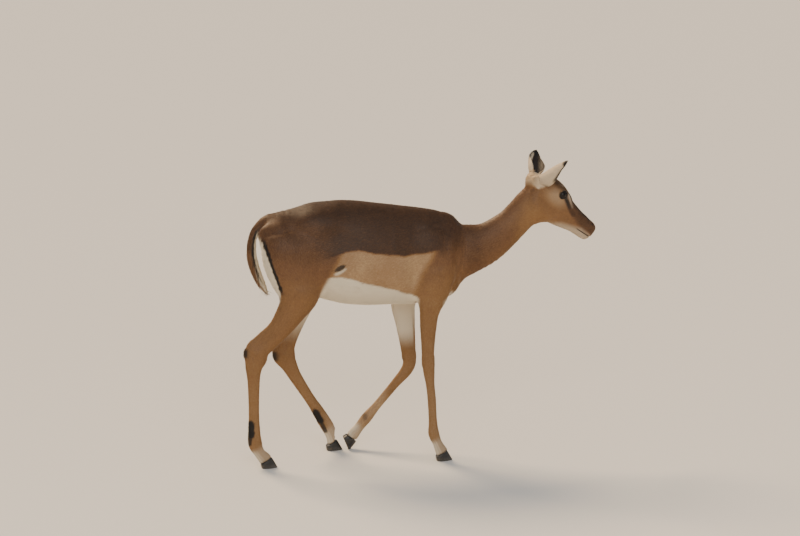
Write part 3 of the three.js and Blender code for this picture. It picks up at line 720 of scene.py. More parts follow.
def points_of(mesh):
    """A mesh's points, in the body's own millimetres."""
    co = np.empty(len(mesh.vertices) * 3, np.float32)
    mesh.vertices.foreach_get("co", co)
    return (co.reshape(-1, 3).astype(float) - SHIFT) * 1000


def put_points(mesh, p):
    mesh.vertices.foreach_set("co", (p / 1000 + SHIFT).astype(np.float32).ravel())
    mesh.update()


def normals_of(mesh):
    n = np.empty(len(mesh.vertices) * 3, np.float32)
    mesh.vertex_normals.foreach_get("vector", n)
    return n.reshape(-1, 3).astype(float)


def put_number(mesh, name, values):
    layer = mesh.attributes.new(name, "FLOAT", "POINT")
    layer.data.foreach_set("value", np.ascontiguousarray(values, np.float32))


def put_marks(mesh, marks):
    for name, values in zip(("tone", "white", "black"), marks):
        put_number(mesh, name, values)


def put_map(mesh, name, uv):
    layer = mesh.uv_layers.new(name=name)
    layer.data.foreach_set("uv", uv.astype(np.float32).ravel())


def rework(mesh, change):
    """Changes a mesh by a function of its editable copy."""
    work = bmesh.new()
    work.from_mesh(mesh)
    work.verts.ensure_lookup_table()
    change(work)
    work.to_mesh(mesh)
    work.free()


def face_outwards(work):
    bmesh.ops.recalc_face_normals(work, faces=work.faces)


def part_many_sided(work):
    bmesh.ops.triangulate(work, faces=[f for f in work.faces if len(f.verts) > 4])


def ring_corners(rows, around):
    """The four corners of every side between one ring of points and the next."""
    i, j = np.meshgrid(np.arange(rows), np.arange(around), indexing="ij")
    a = (i * around + j).ravel()
    b = (i * around + (j + 1) % around).ravel()
    return a, b, b + around, a + around


def refine(mesh, chosen):
    """Cuts in four the faces whose corners are all chosen, given as a test of points."""
    wanted = chosen(points_of(mesh))

    def cut(work):
        edges = [e for e in work.edges if wanted[e.verts[0].index] and wanted[e.verts[1].index]]
        bmesh.ops.subdivide_edges(work, edges=edges, cuts=1, use_grid_fill=True)

    rework(mesh, cut)


# ---------------------------------------------------------------- ears


def ear_frame(side):
    """An ear's root, its length axis, the way across it and the way it opens."""
    form = EARS[side]
    axis = in_head(form["toward"])
    across = np.cross(in_head(form["opening"]), axis)
    across = across / np.linalg.norm(across)
    return head_point(*form["base"]), axis, across, np.cross(axis, across)


EAR_BURIED = 0.2               # the part of its length that runs down into the head


def ear_section(t):
    """Radius, half angle of the rolled leaf and wall, at a part of an ear's length."""
    swell = np.sin(np.pi * np.minimum(0.2 + 0.62 * t, 1)) ** 0.8
    taper = np.maximum(1 - t ** 2.7, 0.002) ** 0.6
    spread = 2.5 + (0.95 - 2.5) * np.minimum(t * 1.25, 1)
    root = np.minimum(0.55 + 1.8 * t, 1)
    radius = root * EAR["radius"] * 1.55 * (1 + 1.35 * swell * t ** 0.5) * taper / (1 + spread * 0.25)
    wall = (EAR["thickness"] + (EAR["least"] - EAR["thickness"]) * t) * (0.35 + 0.65 * taper)
    return radius, spread, wall


def ear_point(side, t, turn, out=0.0):
    """A point of an ear's middle leaf: part of the length, turn from -1 to 1, and depth outwards."""
    root, axis, across, opening = ear_frame(side)
    radius, spread, _ = ear_section(t)
    angle = (spread * turn)[..., None]
    r = (radius + out)[..., None]
    along = ((t * (1 + EAR_BURIED) - EAR_BURIED) * EAR["length"])[..., None]
    lean = radius[..., None] * EARS[side]["lean"]
    return root + axis * along + across * r * np.sin(angle) + opening * (lean - r * np.cos(angle))


def ear_places(side, p):
    """Each point's part of an ear's length, its turn round the leaf and its depth outwards."""
    root, axis, across, opening = ear_frame(side)
    v = p - root
    t = (v @ axis / EAR["length"] + EAR_BURIED) / (1 + EAR_BURIED)
    radius, spread, _ = ear_section(np.clip(t, 0, 1))
    down = radius * EARS[side]["lean"] - v @ opening
    sideways = v @ across
    return t, np.arctan2(sideways, down) / spread, np.hypot(sideways, down) - radius


def toward_front(side, turn):
    """The turn round an ear's leaf, counted towards its front edge."""
    return turn if side == "left" else -turn


def ear_mesh(side):
    """A closed thin leaf, rolled into a cup, with ribs and a rim inside."""
    rows, turns = 72, 40
    t = (np.arange(rows + 1) / rows)[:, None] * np.ones(turns)
    turn = np.linspace(-1, 1, turns)[None, :] * np.ones((rows + 1, 1))
    _, _, wall = ear_section(t)
    ribs = 0.5 * np.cos(turn * 14) * ramp(t, 0.3, 0.5) * ramp(t, 0.95, 0.7) * ramp(np.abs(turn), 0.9, 0.6)
    rim = 0.5 * ramp(np.abs(turn), 0.82, 1.0)
    outside = ear_point(side, t, turn, wall / 2 + 0.2 * rim)
    inside = ear_point(side, t, turn[:, ::-1], -wall / 2 + ribs - rim)
    points = np.concatenate([outside, inside], axis=1).reshape(-1, 3)
    piece = mesh_object(f"ear_{side}_leaf", points, np.column_stack(ring_corners(rows, 2 * turns)))

    def close(work):
        bmesh.ops.holes_fill(work, edges=[e for e in work.edges if e.is_boundary])
        part_many_sided(work)
        face_outwards(work)

    rework(piece.data, close)
    return piece


# ---------------------------------------------------------------- skin

LID = 1.5                      # thickness of an eyelid over the eye
EYE_SURROUND = 34              # how far round an eye's middle its lids are drawn
SLIT = {"half_length": 0.84, "upper": 0.66, "lower": 0.56, "tilt": math.radians(-14)}
MOUTH = [(196, -4), (206, -5), (225, -4), (245, -3), (270, -2)]
NOSTRIL = [(252, 24, 8.5), (247, 32, 12.5), (239, 37, 15.5)]


def eye_frame(s):
    """An eye's middle, the way it looks, and the ways along and across its slit."""
    middle = head_point(EYE["along"], EYE["above"], s * EYE["out"])
    look = in_head((0.3, 0.1, s * 0.95))
    tilt = SLIT["tilt"]
    along = in_head((math.cos(tilt), math.sin(tilt), 0))
    along = along - look * (along @ look)
    along = along / np.linalg.norm(along)
    above = np.cross(look, along) * s
    return middle, look, along, above * np.sign(above @ HEAD_TOP)


def slit_distance(s, p):
    """How far outside the eye's slit each point lies, in mm over the globe, and its height there."""
    middle, look, along, above = eye_frame(s)
    v = unit(p - middle)
    a = v @ along
    b = v @ above
    reach = np.where(b > 0, SLIT["upper"], SLIT["lower"])
    across = np.clip(1 - (np.abs(a) / SLIT["half_length"]) ** 2.2, 0, 1) * reach
    outside = np.where(
        np.abs(a) < SLIT["half_length"],
        np.abs(b) - across,
        np.hypot(np.abs(a) - SLIT["half_length"], b),
    )
    facing = v @ look
    return np.where(facing > 0.1, outside, 2) * EYE["radius"], b


def line_distance(points, path):
    """Distance from a run of straight lines."""
    path = np.array(path, float)
    best = np.full(len(points), np.inf)
    for a, b in zip(path, path[1:]):
        ray = b - a
        t = np.clip((points - a) @ ray / (ray @ ray), 0, 1)
        best = np.minimum(best, lengths(points - a - t[:, None] * ray))
    return best


def face_relief(p):
    """How far the mouth, nostrils and folds lie in (-) or stand out (+) from the face."""
    along, above, out = head_places(p)
    side = np.column_stack([along, above, np.abs(out)])
    relief = np.zeros(len(p))
    in_mouth = ramp(along, 196, 206)
    gap = above - course(MOUTH, along)
    relief -= 2.6 * bump(gap, 1.5) * in_mouth
    relief += 0.9 * bump(gap - 4.5, 3.2) * in_mouth + 0.5 * bump(gap + 4.5, 3.0) * in_mouth
    nostril = line_distance(side, NOSTRIL)
    relief -= 5.0 * bump(nostril, 3.1)
    relief += 1.3 * bump(nostril - 6.0, 2.6) * ramp(along, 228, 240)
    relief -= 1.4 * bump(out, 1.3) * ramp(along, 248, 256) * ramp(above, 2, 8) * ramp(above, 30, 22)
    relief -= 1.2 * bump(line_distance(side, [(96, 44, 40), (122, 36, 34), (146, 30, 27)]), 3.2)
    relief += 0.9 * bump(line_distance(side, [(60, 18, 43), (100, 22, 37), (140, 14, 28)]), 5.0)
    return relief


def shape_eyes(p):
    """Draws the lids over each eye, and sinks the skin behind the eye where they are open."""
    for s in BOTH:
        middle, look, _, _ = eye_frame(s)
        v = p - middle
        r = lengths(v)
        close = (r < EYE_SURROUND) & (v @ look > -6)
        outside, height = slit_distance(s, p[close])
        here = r[close]
        lid = EYE["radius"] + LID * (1 + 0.25 * (height > 0))
        crease = 0.9 * bump(outside - 6.5, 1.6) * (height > 0) + 0.6 * bump(outside - 6, 1.8) * (height <= 0)
        covered = np.maximum(here, lid) - crease
        covered = here + (covered - here) * ramp(outside, 12, 6)
        sunk = EYE["radius"] - 2.5
        target = sunk + (covered - sunk) * ramp(outside, -0.5, 0.5)
        p[close] = middle + v[close] * (target / np.maximum(here, 1e-6))[:, None]
    return p


def near_eye(reach):
    middles = [eye_frame(s)[0] for s in BOTH]
    return lambda p: np.minimum(*[lengths(p - m) for m in middles]) < reach


def near_head(p):
    return (head_places(p)[0] > -40) & (p[:, 0] > 570)


def near_muzzle(p):
    return head_places(p)[0] > MUZZLE


def near_feet(p):
    return p[:, 2] < 70


def make_skin():
    low = np.array([-400.0, -150.0, -20.0])
    high = np.array([860.0, 165.0, 1000.0])
    points, faces = net(field_values(skin_field, low, high), low, FINE)
    skin = mesh_object("skin", points, faces)
    mesh = skin.data
    put_points(mesh, settle(skin_field, points_of(mesh)))
    for chosen in (near_head, near_muzzle, near_eye(30), near_eye(24), near_feet):
        refine(mesh, chosen)
        p = points_of(mesh)
        moving = chosen(p)
        p[moving] = settle(skin_field, p[moving], rounds=2, limit=2.0)
        put_points(mesh, p)
    p = points_of(mesh)
    face = near_head(p)
    normals = normals_of(mesh)
    p[face] += normals[face] * face_relief(p[face])[:, None]
    put_points(mesh, shape_eyes(p))
    for side in EARS:
        join_ear(skin, ear_mesh(side))
    soften_ear_roots(skin)
    return skin


def join_ear(skin, ear):
    union = skin.modifiers.new("ear", "BOOLEAN")
    union.operation = "UNION"
    union.solver = "EXACT"
    union.object = ear
    joined = bpy.data.meshes.new_from_object(skin.evaluated_get(bpy.context.evaluated_depsgraph_get()))
    skin.modifiers.clear()
    skin.data = joined
    bpy.data.objects.remove(ear)


def soften_ear_roots(skin):
    """Rounds the line along which the ears were joined to the head."""
    mesh = skin.data
    p = points_of(mesh)
    chosen = np.zeros(len(p), bool)
    for side in EARS:
        t, _, depth = ear_places(side, p)
        chosen |= (t > 0) & (t < 0.6) & (np.abs(depth) < 12)
    at = np.flatnonzero(chosen)
    at = at[np.abs(skin_field(p[at])) < 4]

    def smooth(work):
        ring = [work.verts[i] for i in at]
        every_way = {f"use_axis_{axis}": True for axis in "xyz"}
        for _ in range(5):
            bmesh.ops.smooth_vert(work, verts=ring, factor=0.5, **every_way)
        part_many_sided(work)

    rework(mesh, smooth)
    mesh.polygons.foreach_set("use_smooth", np.ones(len(mesh.polygons), bool))


# ---------------------------------------------------------------- markings

# Courses of the markings' edges: x and height, or height and x where it says so.
SADDLE_EDGE = [(-300, 690), (-94, 733), (-50, 750), (-3, 757), (44, 746), (98, 737), (152, 730), (212, 733),
               (280, 748), (380, 780), (450, 805)]
BELLY_EDGE = [(-140, 660), (-50, 664), (17, 641), (72, 625), (126, 609), (170, 591), (215, 575)]
THIGH_EDGE = [(560, -140), (602, -127), (656, -101), (697, -84), (741, -66), (800, -60)]   # z, x
SHOULDER_EDGE = [(540, 176), (606, 192), (660, 214), (704, 240), (745, 264)]               # z, x
SEAT_STRIPE = [(610, -262), (642, -272), (674, -283), (716, -298), (755, -309), (800, -322)]  # z, x
BRISKET = (318, 556)           # x, z
FLANK_SPOT = {"at": (-66, 696), "reach": (21, 8.5), "rise": math.radians(32)}
GLANDS = {
    "hind_right": [(-370, 158), (-371, 140), (-372, 120), (-377, 88)],
    "hind_left": [(-131, 142), (-124, 126), (-116, 112), (-98, 72)],
}
EAR_LOBE = [(-20, 52), (-8, 32)]
HOCK_POINTS = {"hind_right": (-392, 408), "hind_left": (-270, 345)}


def course(path, x):
    """A height read off a run of points."""
    return np.interp(x, *np.array(path, float).T)


def wander(p, size, seed=0):
    """A smooth uneven number between -1 and 1 that changes over a size in mm."""
    turns = np.random.default_rng(seed).normal(size=(6, 3))
    waves = [np.sin(p @ turn / size * 2 + 2.4 * i) for i, turn in enumerate(unit(turns))]
    return sum(waves) / 3


def over(base, layer, cover):
    return base + (layer - base) * cover


def paint(mark, value, cover):
    """Lays a value over a mark as far as it covers it."""
    mark[:] = over(mark, value, cover)


def raise_to(mark, value):
    """Raises a mark to a value wherever it is lower."""
    mark[:] = np.maximum(mark, value)


def stride_of(y, z):
    """How far the left hind leg stands ahead of the right one, by height."""
    return (y > 0) * np.interp(z, [610, 680, 760], [44, 33, 8])


def body_marks(p, n, marks):
    tone, white, _ = marks
    x, y, z = p.T
    rough = 1.5 * wander(p, 16, 3) + 0.7 * wander(p, 5, 4)
    inward = -n[:, 1] * np.sign(y)
    left = y > 0
    stride = stride_of(y, z)
    reach = left * np.interp(z, [568, 630, 668, 740], [-62, -44, -22, -12])
    front = ramp(x, 120, 300)
    top = ramp(z, 560, 830)
    tone[:] = 0.52 + 0.28 * top - 0.08 * front * (1 - top)
    tone -= 0.1 * ramp(z, 470, 200)
    tone += 0.12 * ramp(z, 840, 885) * ramp(x, 420, 300)
    croup = ramp(z, 825, 885) * ramp(x, -310, -210) * ramp(x, 320, 220)
    paint(tone, 0.95, croup)
    saddle = z - course(SADDLE_EDGE, x) + rough
    thigh = x - course(THIGH_EDGE, z) - stride
    shoulder = course(SHOULDER_EDGE, z) + reach - x
    above = ramp(saddle, -3 - 42 * ramp(x, 220, 300), 5 + 25 * ramp(x, 230, 300))
    above = above * ramp(x, -170, -60) * ramp(x, 470, 230)
    paint(tone, np.maximum(tone, 0.86 + 0.06 * top), above)
    panel = ramp(-saddle, -3, 6) * ramp(thigh, -14, 18) * ramp(shoulder, -16, 20)
    paint(tone, 0.2 + 0.05 * wander(p, 40, 5), panel)
    belly = ramp(course(BELLY_EDGE, x) - z + rough, -4, 5) * ramp(thigh, -12, 8)
    elbow = np.where(left, 140, 200)
    belly *= ramp(x - elbow, 8, -6) * ramp(z, 514, 532)
    middle = ramp(z, 590, 560) * ramp(np.abs(y), 52, 30) * ramp(x, 330, 250)
    inner = 0.8 * ramp(inward, 0.1, 0.55) * ramp(z, 380, 500) * ramp(z, 700, 640)
    foreleg = 0.85 * ramp(inward, 0.0, 0.4) * ramp(z, 350, 430) * ramp(x, 100, 140) * ramp(z, 640, 600)
    foreleg *= ramp(n[:, 0], 0.75, 0.35)
    chest = np.hypot((x - BRISKET[0]) / 34, (z - BRISKET[1]) / 26)
    white[:] = np.maximum.reduce([white, belly, middle, inner, foreleg, 0.75 * ramp(chest, 1.2, 0.6)])


def seat_marks(p, marks):
    """The white seat with its black edges, and the white between the haunches."""
    _, white, black = marks
    x, y, z = p.T
    stride = stride_of(y, z)
    stripe = x - course(SEAT_STRIPE, z) - stride + 1.5 * wander(p, 5, 8)
    seat = ramp(z, 560, 620) * ramp(z, 808, 780) * ramp(x - stride, -200, -240)
    raise_to(white, ramp(-stripe, 3, 7) * seat)
    line = ramp(np.abs(stripe), 6.5, 3.5) * seat * ramp(z, 600, 630) * ramp(np.abs(y), 14, 24)
    raise_to(black, line)
    between = ramp(np.abs(y), 78, 60) * ramp(x - stride, -150, -190) * ramp(z, 720, 680) * ramp(z, 470, 520)
    raise_to(white, between)
    black[:] = black * (1 - between)


def flank_marks(p, marks):
    """A dark spot before the stifle, with a paler rim below it."""
    _, white, black = marks
    x, y, z = p.T
    rise, reach = FLANK_SPOT["rise"], FLANK_SPOT["reach"]
    u, v = x - FLANK_SPOT["at"][0], z - FLANK_SPOT["at"][1]
    along, across = u * math.cos(rise) + v * math.sin(rise), v * math.cos(rise) - u * math.sin(rise)
    spot = np.hypot(along / reach[0], across / reach[1])
    flank = np.abs(y) > 60
    rim = np.hypot((along + 6) / (reach[0] * 1.1), (across + 11) / 7)
    raise_to(white, 0.7 * ramp(rim, 1.2, 0.7) * flank)
    dark = 0.86 * ramp(spot, 1.15, 0.8) * flank
    raise_to(black, dark)
    white[:] = white * (1 - dark)


def leg_marks(p, n, marks):
    _, white, black = marks
    x, y, z = p.T
    rear = ramp(-n[:, 0], 0.0, 0.5)
    to_foot = np.array([lengths(p - coronet(name)[0]) for name in LEGS])
    for i, name in enumerate(LEGS):
        side = LEGS[name]["side"]
        here = (np.sign(y) == side) & (z < LEG_TOP)
        here &= (x < 100) if name.startswith("hind") or name == "fore_left" else (x > 150)
        point, down = coronet(name)
        depth = (p - point) @ down
        low = (to_foot[i] < 90) & (to_foot.argmin(0) == i)
        # Painted backlight: the pastern above each hoof is made pale, most on its rear faces, as if lit by
        # the sun from behind.
        painted_backlit_heel = ramp(depth, -66, -40) * (0.35 + 0.65 * rear)
        white[low] = np.maximum(white[low], 0.8 * painted_backlit_heel[low])
        black[low] = np.maximum(black[low], ramp(depth[low], -6, -2) * 0.8)
        if name in GLANDS:
            flat = np.column_stack([x, z])
            gland = line_distance(flat, GLANDS[name][:3]) + 1.5 * wander(p, 5, 9)
            trail = line_distance(flat, GLANDS[name][2:])
            mark = np.maximum(ramp(gland, 15, 9), 0.85 * ramp(trail, 9, 5)) * ramp(-n[:, 0], -0.25, 0.15)
            black[here] = np.maximum(black[here], mark[here])
            hock = lengths(flat - HOCK_POINTS[name])
            black[here] = np.maximum(black[here], 0.9 * (ramp(hock, 24, 10) * rear)[here])
    shin = np.hypot((x - 40) / 10, (z - 118) / 16)
    raise_to(black, 0.45 * ramp(shin, 1.2, 0.5) * (y > 40) * (x > -40))


def tail_marks(p, marks):
    tone, white, black = marks
    distance, lateral, down, run = LOFTS["tail"].measure(p)
    up = -down
    here = (distance < 0.5) & (run > 34)
    under = ramp(up / 15, -0.1, -0.55) * ramp(run, 60, 110)
    tip = ramp(run, 200, 262)
    tone[here] = 0.8 - 0.15 * (run[here] > 150)
    white[here] = np.maximum(under, 0.9 * tip * ramp(up, 8, 0))[here]
    edge = ramp(np.abs(up / 15 + 0.15), 0.3, 0.12) + ramp(np.abs(lateral), 4.5, 2.0) * (up > 4)
    black[here] = (np.clip(edge, 0, 1) * ramp(run, 60, 95) * ramp(run, 280, 230))[here]


def head_marks(p, n, marks):
    tone, white, black = marks
    along, above, out = head_places(p)
    wide = np.abs(out)
    upward = n @ HEAD_TOP
    here = ramp(along, -60, 20) * ramp(p[:, 0], 510, 590)
    neck = ramp(p[:, 0], 300, 440)
    crest = ramp(n[:, 2], 0.2, 0.8)
    on_neck = 0.64 + 0.1 * crest + 0.12 * ramp(p[:, 0], 500, 390) - 0.08 * ramp(-n[:, 2], 0, 0.8)
    paint(tone, on_neck + 0.03 * wander(p, 30, 6), neck)
    throat = ramp(-n[:, 2], 0.55, 0.95) * ramp(p[:, 0], 470, 540) * ramp(along, 0, -30)
    raise_to(white, 0.3 * throat)
    paint(tone, 0.56 - 0.1 * ramp(above, 0, -50), here)
    cheek = ramp(np.hypot((along - 68) / 54, (above - 42) / 32), 1.35, 0.2) * ramp(wide, 18, 34)
    paint(tone, 0.32, 0.8 * cheek * here)
    muzzle_edge = np.interp(along, [130, 156, 194, 225], [34, 21, 7, 3])
    muzzle = ramp(along, 128, 176) * ramp(above - muzzle_edge, -8, 12)
    paint(tone, 0.82, muzzle * here)
    bridge = ramp(wide, 27, 17) * ramp(along, 84, 104) * ramp(upward, 0.2, 0.6)
    paint(tone, 0.85, bridge * here)
    blaze = ramp(wide + 1.2 * wander(p, 4, 7), 13, 7) * ramp(along, 88, 104) * ramp(along, 262, 240)
    blaze *= ramp(upward, 0.0, 0.3)
    place = np.column_stack([along, above])
    crown = ramp(above, 60, 82) * ramp(along, 0, 34) * ramp(along, 108, 78)
    stripe = ramp(line_distance(place, [(97, 56), (116, 47), (133, 38)]), 7.5, 3) * ramp(wide, 12, 20)
    stripe *= 0.9 - 0.75 * ramp(along, 112, 150)
    fade = ramp(line_distance(place, [(97, 56), (116, 47), (140, 35), (160, 27)]), 12, 5) * ramp(wide, 12, 18)
    paint(tone, 0.9, 0.8 * fade * here)
    brow = ramp(line_distance(place, [(80, 90), (93, 87), (106, 69), (142, 45)]), 7.5, 1.5)
    brow *= ramp(wide, 8, 16) * ramp(along, 74, 96) * (1 - 0.75 * ramp(along, 104, 145))
    jaw = ramp(above - np.interp(along, [90, 140, 190, 215, 262], [-56, -24, -8, 1, -3]), 14, -12)
    jaw *= ramp(along, 70, 160)
    lip = ramp(along, 195, 215) * ramp(above, 9, 3) * ramp(along, 262, 250)
    # Painted sunlight: round the ear roots, over the nape between them and down the lobe below the ears, the
    # coat is made pale cream, as if lit by the sun from behind.
    roots = np.zeros(len(p))
    for form in EARS.values():
        roots = np.maximum(roots, ramp(lengths(p - head_point(*form["base"])), 42, 27))
    painted_sunlit_nape = ramp(lengths((p - head_point(-25, 48, 4)) / (1, 1, 0.9)), 42, 28)
    roots = np.maximum(roots, painted_sunlit_nape)
    painted_sunlit_lobe = ramp(line_distance(place, EAR_LOBE), 9, 4) * ramp(wide, 22, 30)
    roots = np.maximum(roots * ramp(along, 34, 4), painted_sunlit_lobe)
    paint(tone, 0.1, roots)
    # The white over the ear roots (0.74) is the painted sunlight above.
    pale = np.maximum.reduce([0.5 * brow, 0.14 * cheek, 0.46 * jaw, 0.2 * lip, 0.74 * roots])
    paint(white, np.maximum(white * (1 - here), pale), here)
    nose = ramp(along, 256, 263) * ramp(above, 4, 10) * ramp(wide, 15, 10)
    holes = ramp(line_distance(np.column_stack([along, above, wide]), NOSTRIL), 5, 2.5)
    gap = np.abs(above - course(MOUTH, along))
    mouth = 0.9 * ramp(gap, 2.6, 1.0) * ramp(along, 192, 214)
    lids = np.zeros(len(p))
    for s in BOTH:
        middle, _, forth, high = eye_frame(s)
        v = p - middle
        beside = lengths(v) < 40
        lids = np.maximum(lids, beside * ramp(np.hypot(v @ forth, v @ high), 17.5, 14.5))
    crown *= 0.6 * (1 - brow) * (1 - roots)
    dark = np.maximum.reduce([0.92 * blaze, crown, stripe, nose, holes, mouth, lids]) * (here > 0.4)
    black[:] = np.maximum(black * (1 - here), dark)


def ear_marks(p, marks):
    tone, white, black = marks
    for side in EARS:
        t, turn, depth = ear_places(side, p)
        here = (t > 0.12) & (t < 1.06) & (np.abs(depth) < 5) & (np.abs(turn) < 1.25)
        cup = (depth < -1.5) & (t > 0.1) & (t < 0.7) & (np.abs(turn) < 1.1)
        here = here & (skin_field(p) > 1.0) | cup
        inside = ramp(depth, 0.3, -0.3)
        forward = toward_front(side, turn)
        # Painted shade: inside the cup, away from its front edge, the hollow is made near black.
        hollow = inside * ramp(forward, 0.34, 0.12) * ramp(t, 0.1, 0.22)
        edge = ramp(turn, 0.72, 0.92) * ramp(t, 0.4, 0.55)
        tip = ramp(t + 0.02 * wander(p, 6, 11), 0.84, 0.92)
        # Painted sunlight: the back of the leaf is made pale cream. Painted shade makes it browner towards
        # its root. The white inside the rim, the black tip and the black front edge are the ear's own.
        tone[here] = over(0.08 + 0.15 * (1 - inside) * ramp(t, 0.4, 0.1), 0.97, hollow)[here]
        white[here] = ((0.5 + 0.2 * inside) * (1 - hollow))[here]
        black[here] = np.clip(tip + 0.72 * hollow + 0.9 * edge, 0, 1)[here]


def markings(p, n):
    """Tone from pale tan (0) to deep red-brown (1), and how white and how black the coat is. On the ears,
    round their roots and at the pasterns, part of it is painted light and shade.
    """
    marks = np.zeros((3, len(p)))
    body_marks(p, n, marks)
    seat_marks(p, marks)
    flank_marks(p, marks)
    head_marks(p, n, marks)
    leg_marks(p, n, marks)
    tail_marks(p, marks)
    ear_marks(p, marks)
    return np.clip(marks, 0, 1)


# ---------------------------------------------------------------- materials


def linear(hex_colour, alpha=1.0):
    """An sRGB hex colour as linear numbers."""
    values = [int(hex_colour[i:i + 2], 16) / 255 for i in (1, 3, 5)]
    return [v / 12.92 if v <= 0.04045 else ((v + 0.055) / 1.055) ** 2.4 for v in values] + [alpha]


def add(tree, kind, settings=None, links=None):
    """A node with its settings, and its inputs linked or set."""
    node = tree.nodes.new(kind)
    for name, value in (settings or {}).items():
        setattr(node, name, value)
    for name, value in (links or {}).items():
        socket = node.inputs[name]
        if isinstance(value, bpy.types.NodeSocket):
            tree.links.new(value, socket)
        else:
            socket.default_value = value
    return node


def new_material(name):
    material = bpy.data.materials.new(name)
    material.use_nodes = True
    tree = material.node_tree
    tree.nodes.clear()
    shader = add(tree, "ShaderNodeBsdfPrincipled")
    output = add(tree, "ShaderNodeOutputMaterial")
    tree.links.new(shader.outputs[0], output.inputs["Surface"])
    return material, tree, shader


def set_sockets(shader, **values):
    for name, value in values.items():
        shader.inputs[name.replace("_", " ")].default_value = value


def per_metre(size_mm):
    """A texture scale whose features are a size in mm."""
    return 1000 / size_mm


HAIR_COLOURS = [
    (0.0, "#cdae82"),          # palest tan
    (0.2, "#a58461"),          # flank
    (0.45, "#906a40"),         # legs
    (0.65, "#765234"),         # thigh, neck and cheek
    (0.85, "#513620"),         # saddle
    (1.0, "#3a2617"),
]
WHITE_HAIR = "#e8dcc3"
BLACK_HAIR = "#17120f"


def noise_of(tree, place, scale, detail):
    links = {"Vector": place, "Scale": scale, "Detail": detail}
    return add(tree, "ShaderNodeTexNoise", links=links).outputs["Fac"]


def combine(tree, operation, a, b):
    return add(tree, "ShaderNodeMath", {"operation": operation}, {0: a, 1: b}).outputs[0]


def map_range(tree, value, low, high, first, last):
    """A value between low and high, brought to between first and last."""
    return add(tree, "ShaderNodeMapRange", links={
        "Value": value, "From Min": low, "From Max": high, "To Min": first, "To Max": last,
    }).outputs[0]


def mix_colours(tree, share, first, second):
    return add(tree, "ShaderNodeMix", {"data_type": "RGBA"}, {0: share, 6: first, 7: second}).outputs[2]


def relieve(tree, shader, height, strength, distance):
    """Gives a material's surface its relief."""
    links = {"Height": height, "Strength": strength, "Distance": distance}
    tree.links.new(add(tree, "ShaderNodeBump", links=links).outputs[0], shader.inputs["Normal"])


def coat_colour(tree, spread):
    """The coat's colour from its three marks, uneven over hair, lock and patch."""
    place = add(tree, "ShaderNodeTexCoord").outputs["Object"]
    tone, white, black, shade = (
        add(tree, "ShaderNodeAttribute", {"attribute_name": name}).outputs["Fac"]
        for name in ("tone", "white", "black", "shade")
    )
    patch = map_range(tree, noise_of(tree, place, per_metre(38), 3.0), 0.3, 0.7, -0.025, 0.025)
    lock = map_range(tree, noise_of(tree, place, per_metre(5), 2.0), 0.3, 0.7, -spread, spread)
    own = combine(tree, "ADD", combine(tree, "ADD", tone, combine(tree, "ADD", patch, lock)), shade)
    brown = add(tree, "ShaderNodeValToRGB", links={"Fac": own})
    stops = brown.color_ramp.elements
    for i, (at, colour) in enumerate(HAIR_COLOURS):
        stop = stops[i] if i < 2 else stops.new(at)
        stop.position = at
        stop.color = linear(colour)
    pale = mix_colours(tree, white, brown.outputs["Color"], linear(WHITE_HAIR))
    return mix_colours(tree, black, pale, linear(BLACK_HAIR))


def skin_material():
    """Hide under short hair: dull, with fine locks of hair lying along the body."""
    material, tree, shader = new_material("hide under short hair")
    tree.links.new(coat_colour(tree, 0.05), shader.inputs["Base Color"])
    lay = add(tree, "ShaderNodeUVMap", {"uv_map": "lay"}).outputs[0]
    # A hair is 0.1 mm wide; locks of 1.5 by 9 mm are the finest that show.
    scale = (per_metre(1.5), per_metre(9), 1)
    stretch = add(tree, "ShaderNodeMapping", links={"Vector": lay, "Scale": scale})
    relieve(tree, shader, noise_of(tree, stretch.outputs[0], 1.0, 3.0), 0.5, 0.0012)
    set_sockets(
        shader, Roughness=0.62, IOR=1.5, Specular_IOR_Level=0.35, Sheen_Weight=0.12, Sheen_Roughness=0.4,
    )
    return material


def hair_material():
    """Short glossy summer hair in locks: soft sheen, each lock a little off its neighbours in tone."""
    material, tree, shader = new_material("short impala hair")
    tree.links.new(coat_colour(tree, 0.03), shader.inputs["Base Color"])
    set_sockets(
        shader, Roughness=0.5, IOR=1.5, Specular_IOR_Level=0.4, Sheen_Weight=0.15, Sheen_Roughness=0.35,
    )
    return material


def eye_material():
    """A wet eye: near-black brown iris with a level slit pupil, under a clear glossy cornea."""
    material, tree, shader = new_material("wet dark eye")
    look = add(tree, "ShaderNodeUVMap", {"uv_map": "iris"}).outputs[0]
    parts = add(tree, "ShaderNodeSeparateXYZ", links={"Vector": look})
    across = combine(tree, "MULTIPLY", parts.outputs[1], 1.9)
    flat = add(tree, "ShaderNodeCombineXYZ", links={"X": parts.outputs[0], "Y": across})
    pupil, whole = (
        add(tree, "ShaderNodeVectorMath", {"operation": "LENGTH"}, {0: place}).outputs["Value"]
        for place in (flat.outputs[0], look)
    )
    iris = mix_colours(tree, noise_of(tree, look, 9.0, 4.0), linear("#0d0705"), linear("#1c0f09"))
    dark = mix_colours(tree, map_range(tree, pupil, 0.42, 0.5, 0.0, 1.0), linear("#050404"), iris)
    globe = mix_colours(tree, map_range(tree, whole, 0.62, 0.74, 0.0, 1.0), dark, linear("#0a0605"))
    tree.links.new(globe, shader.inputs["Base Color"])
    set_sockets(
        shader, Roughness=0.18, IOR=1.34, Specular_IOR_Level=0.3, Coat_Weight=0.25, Coat_Roughness=0.03,
    )
    return material


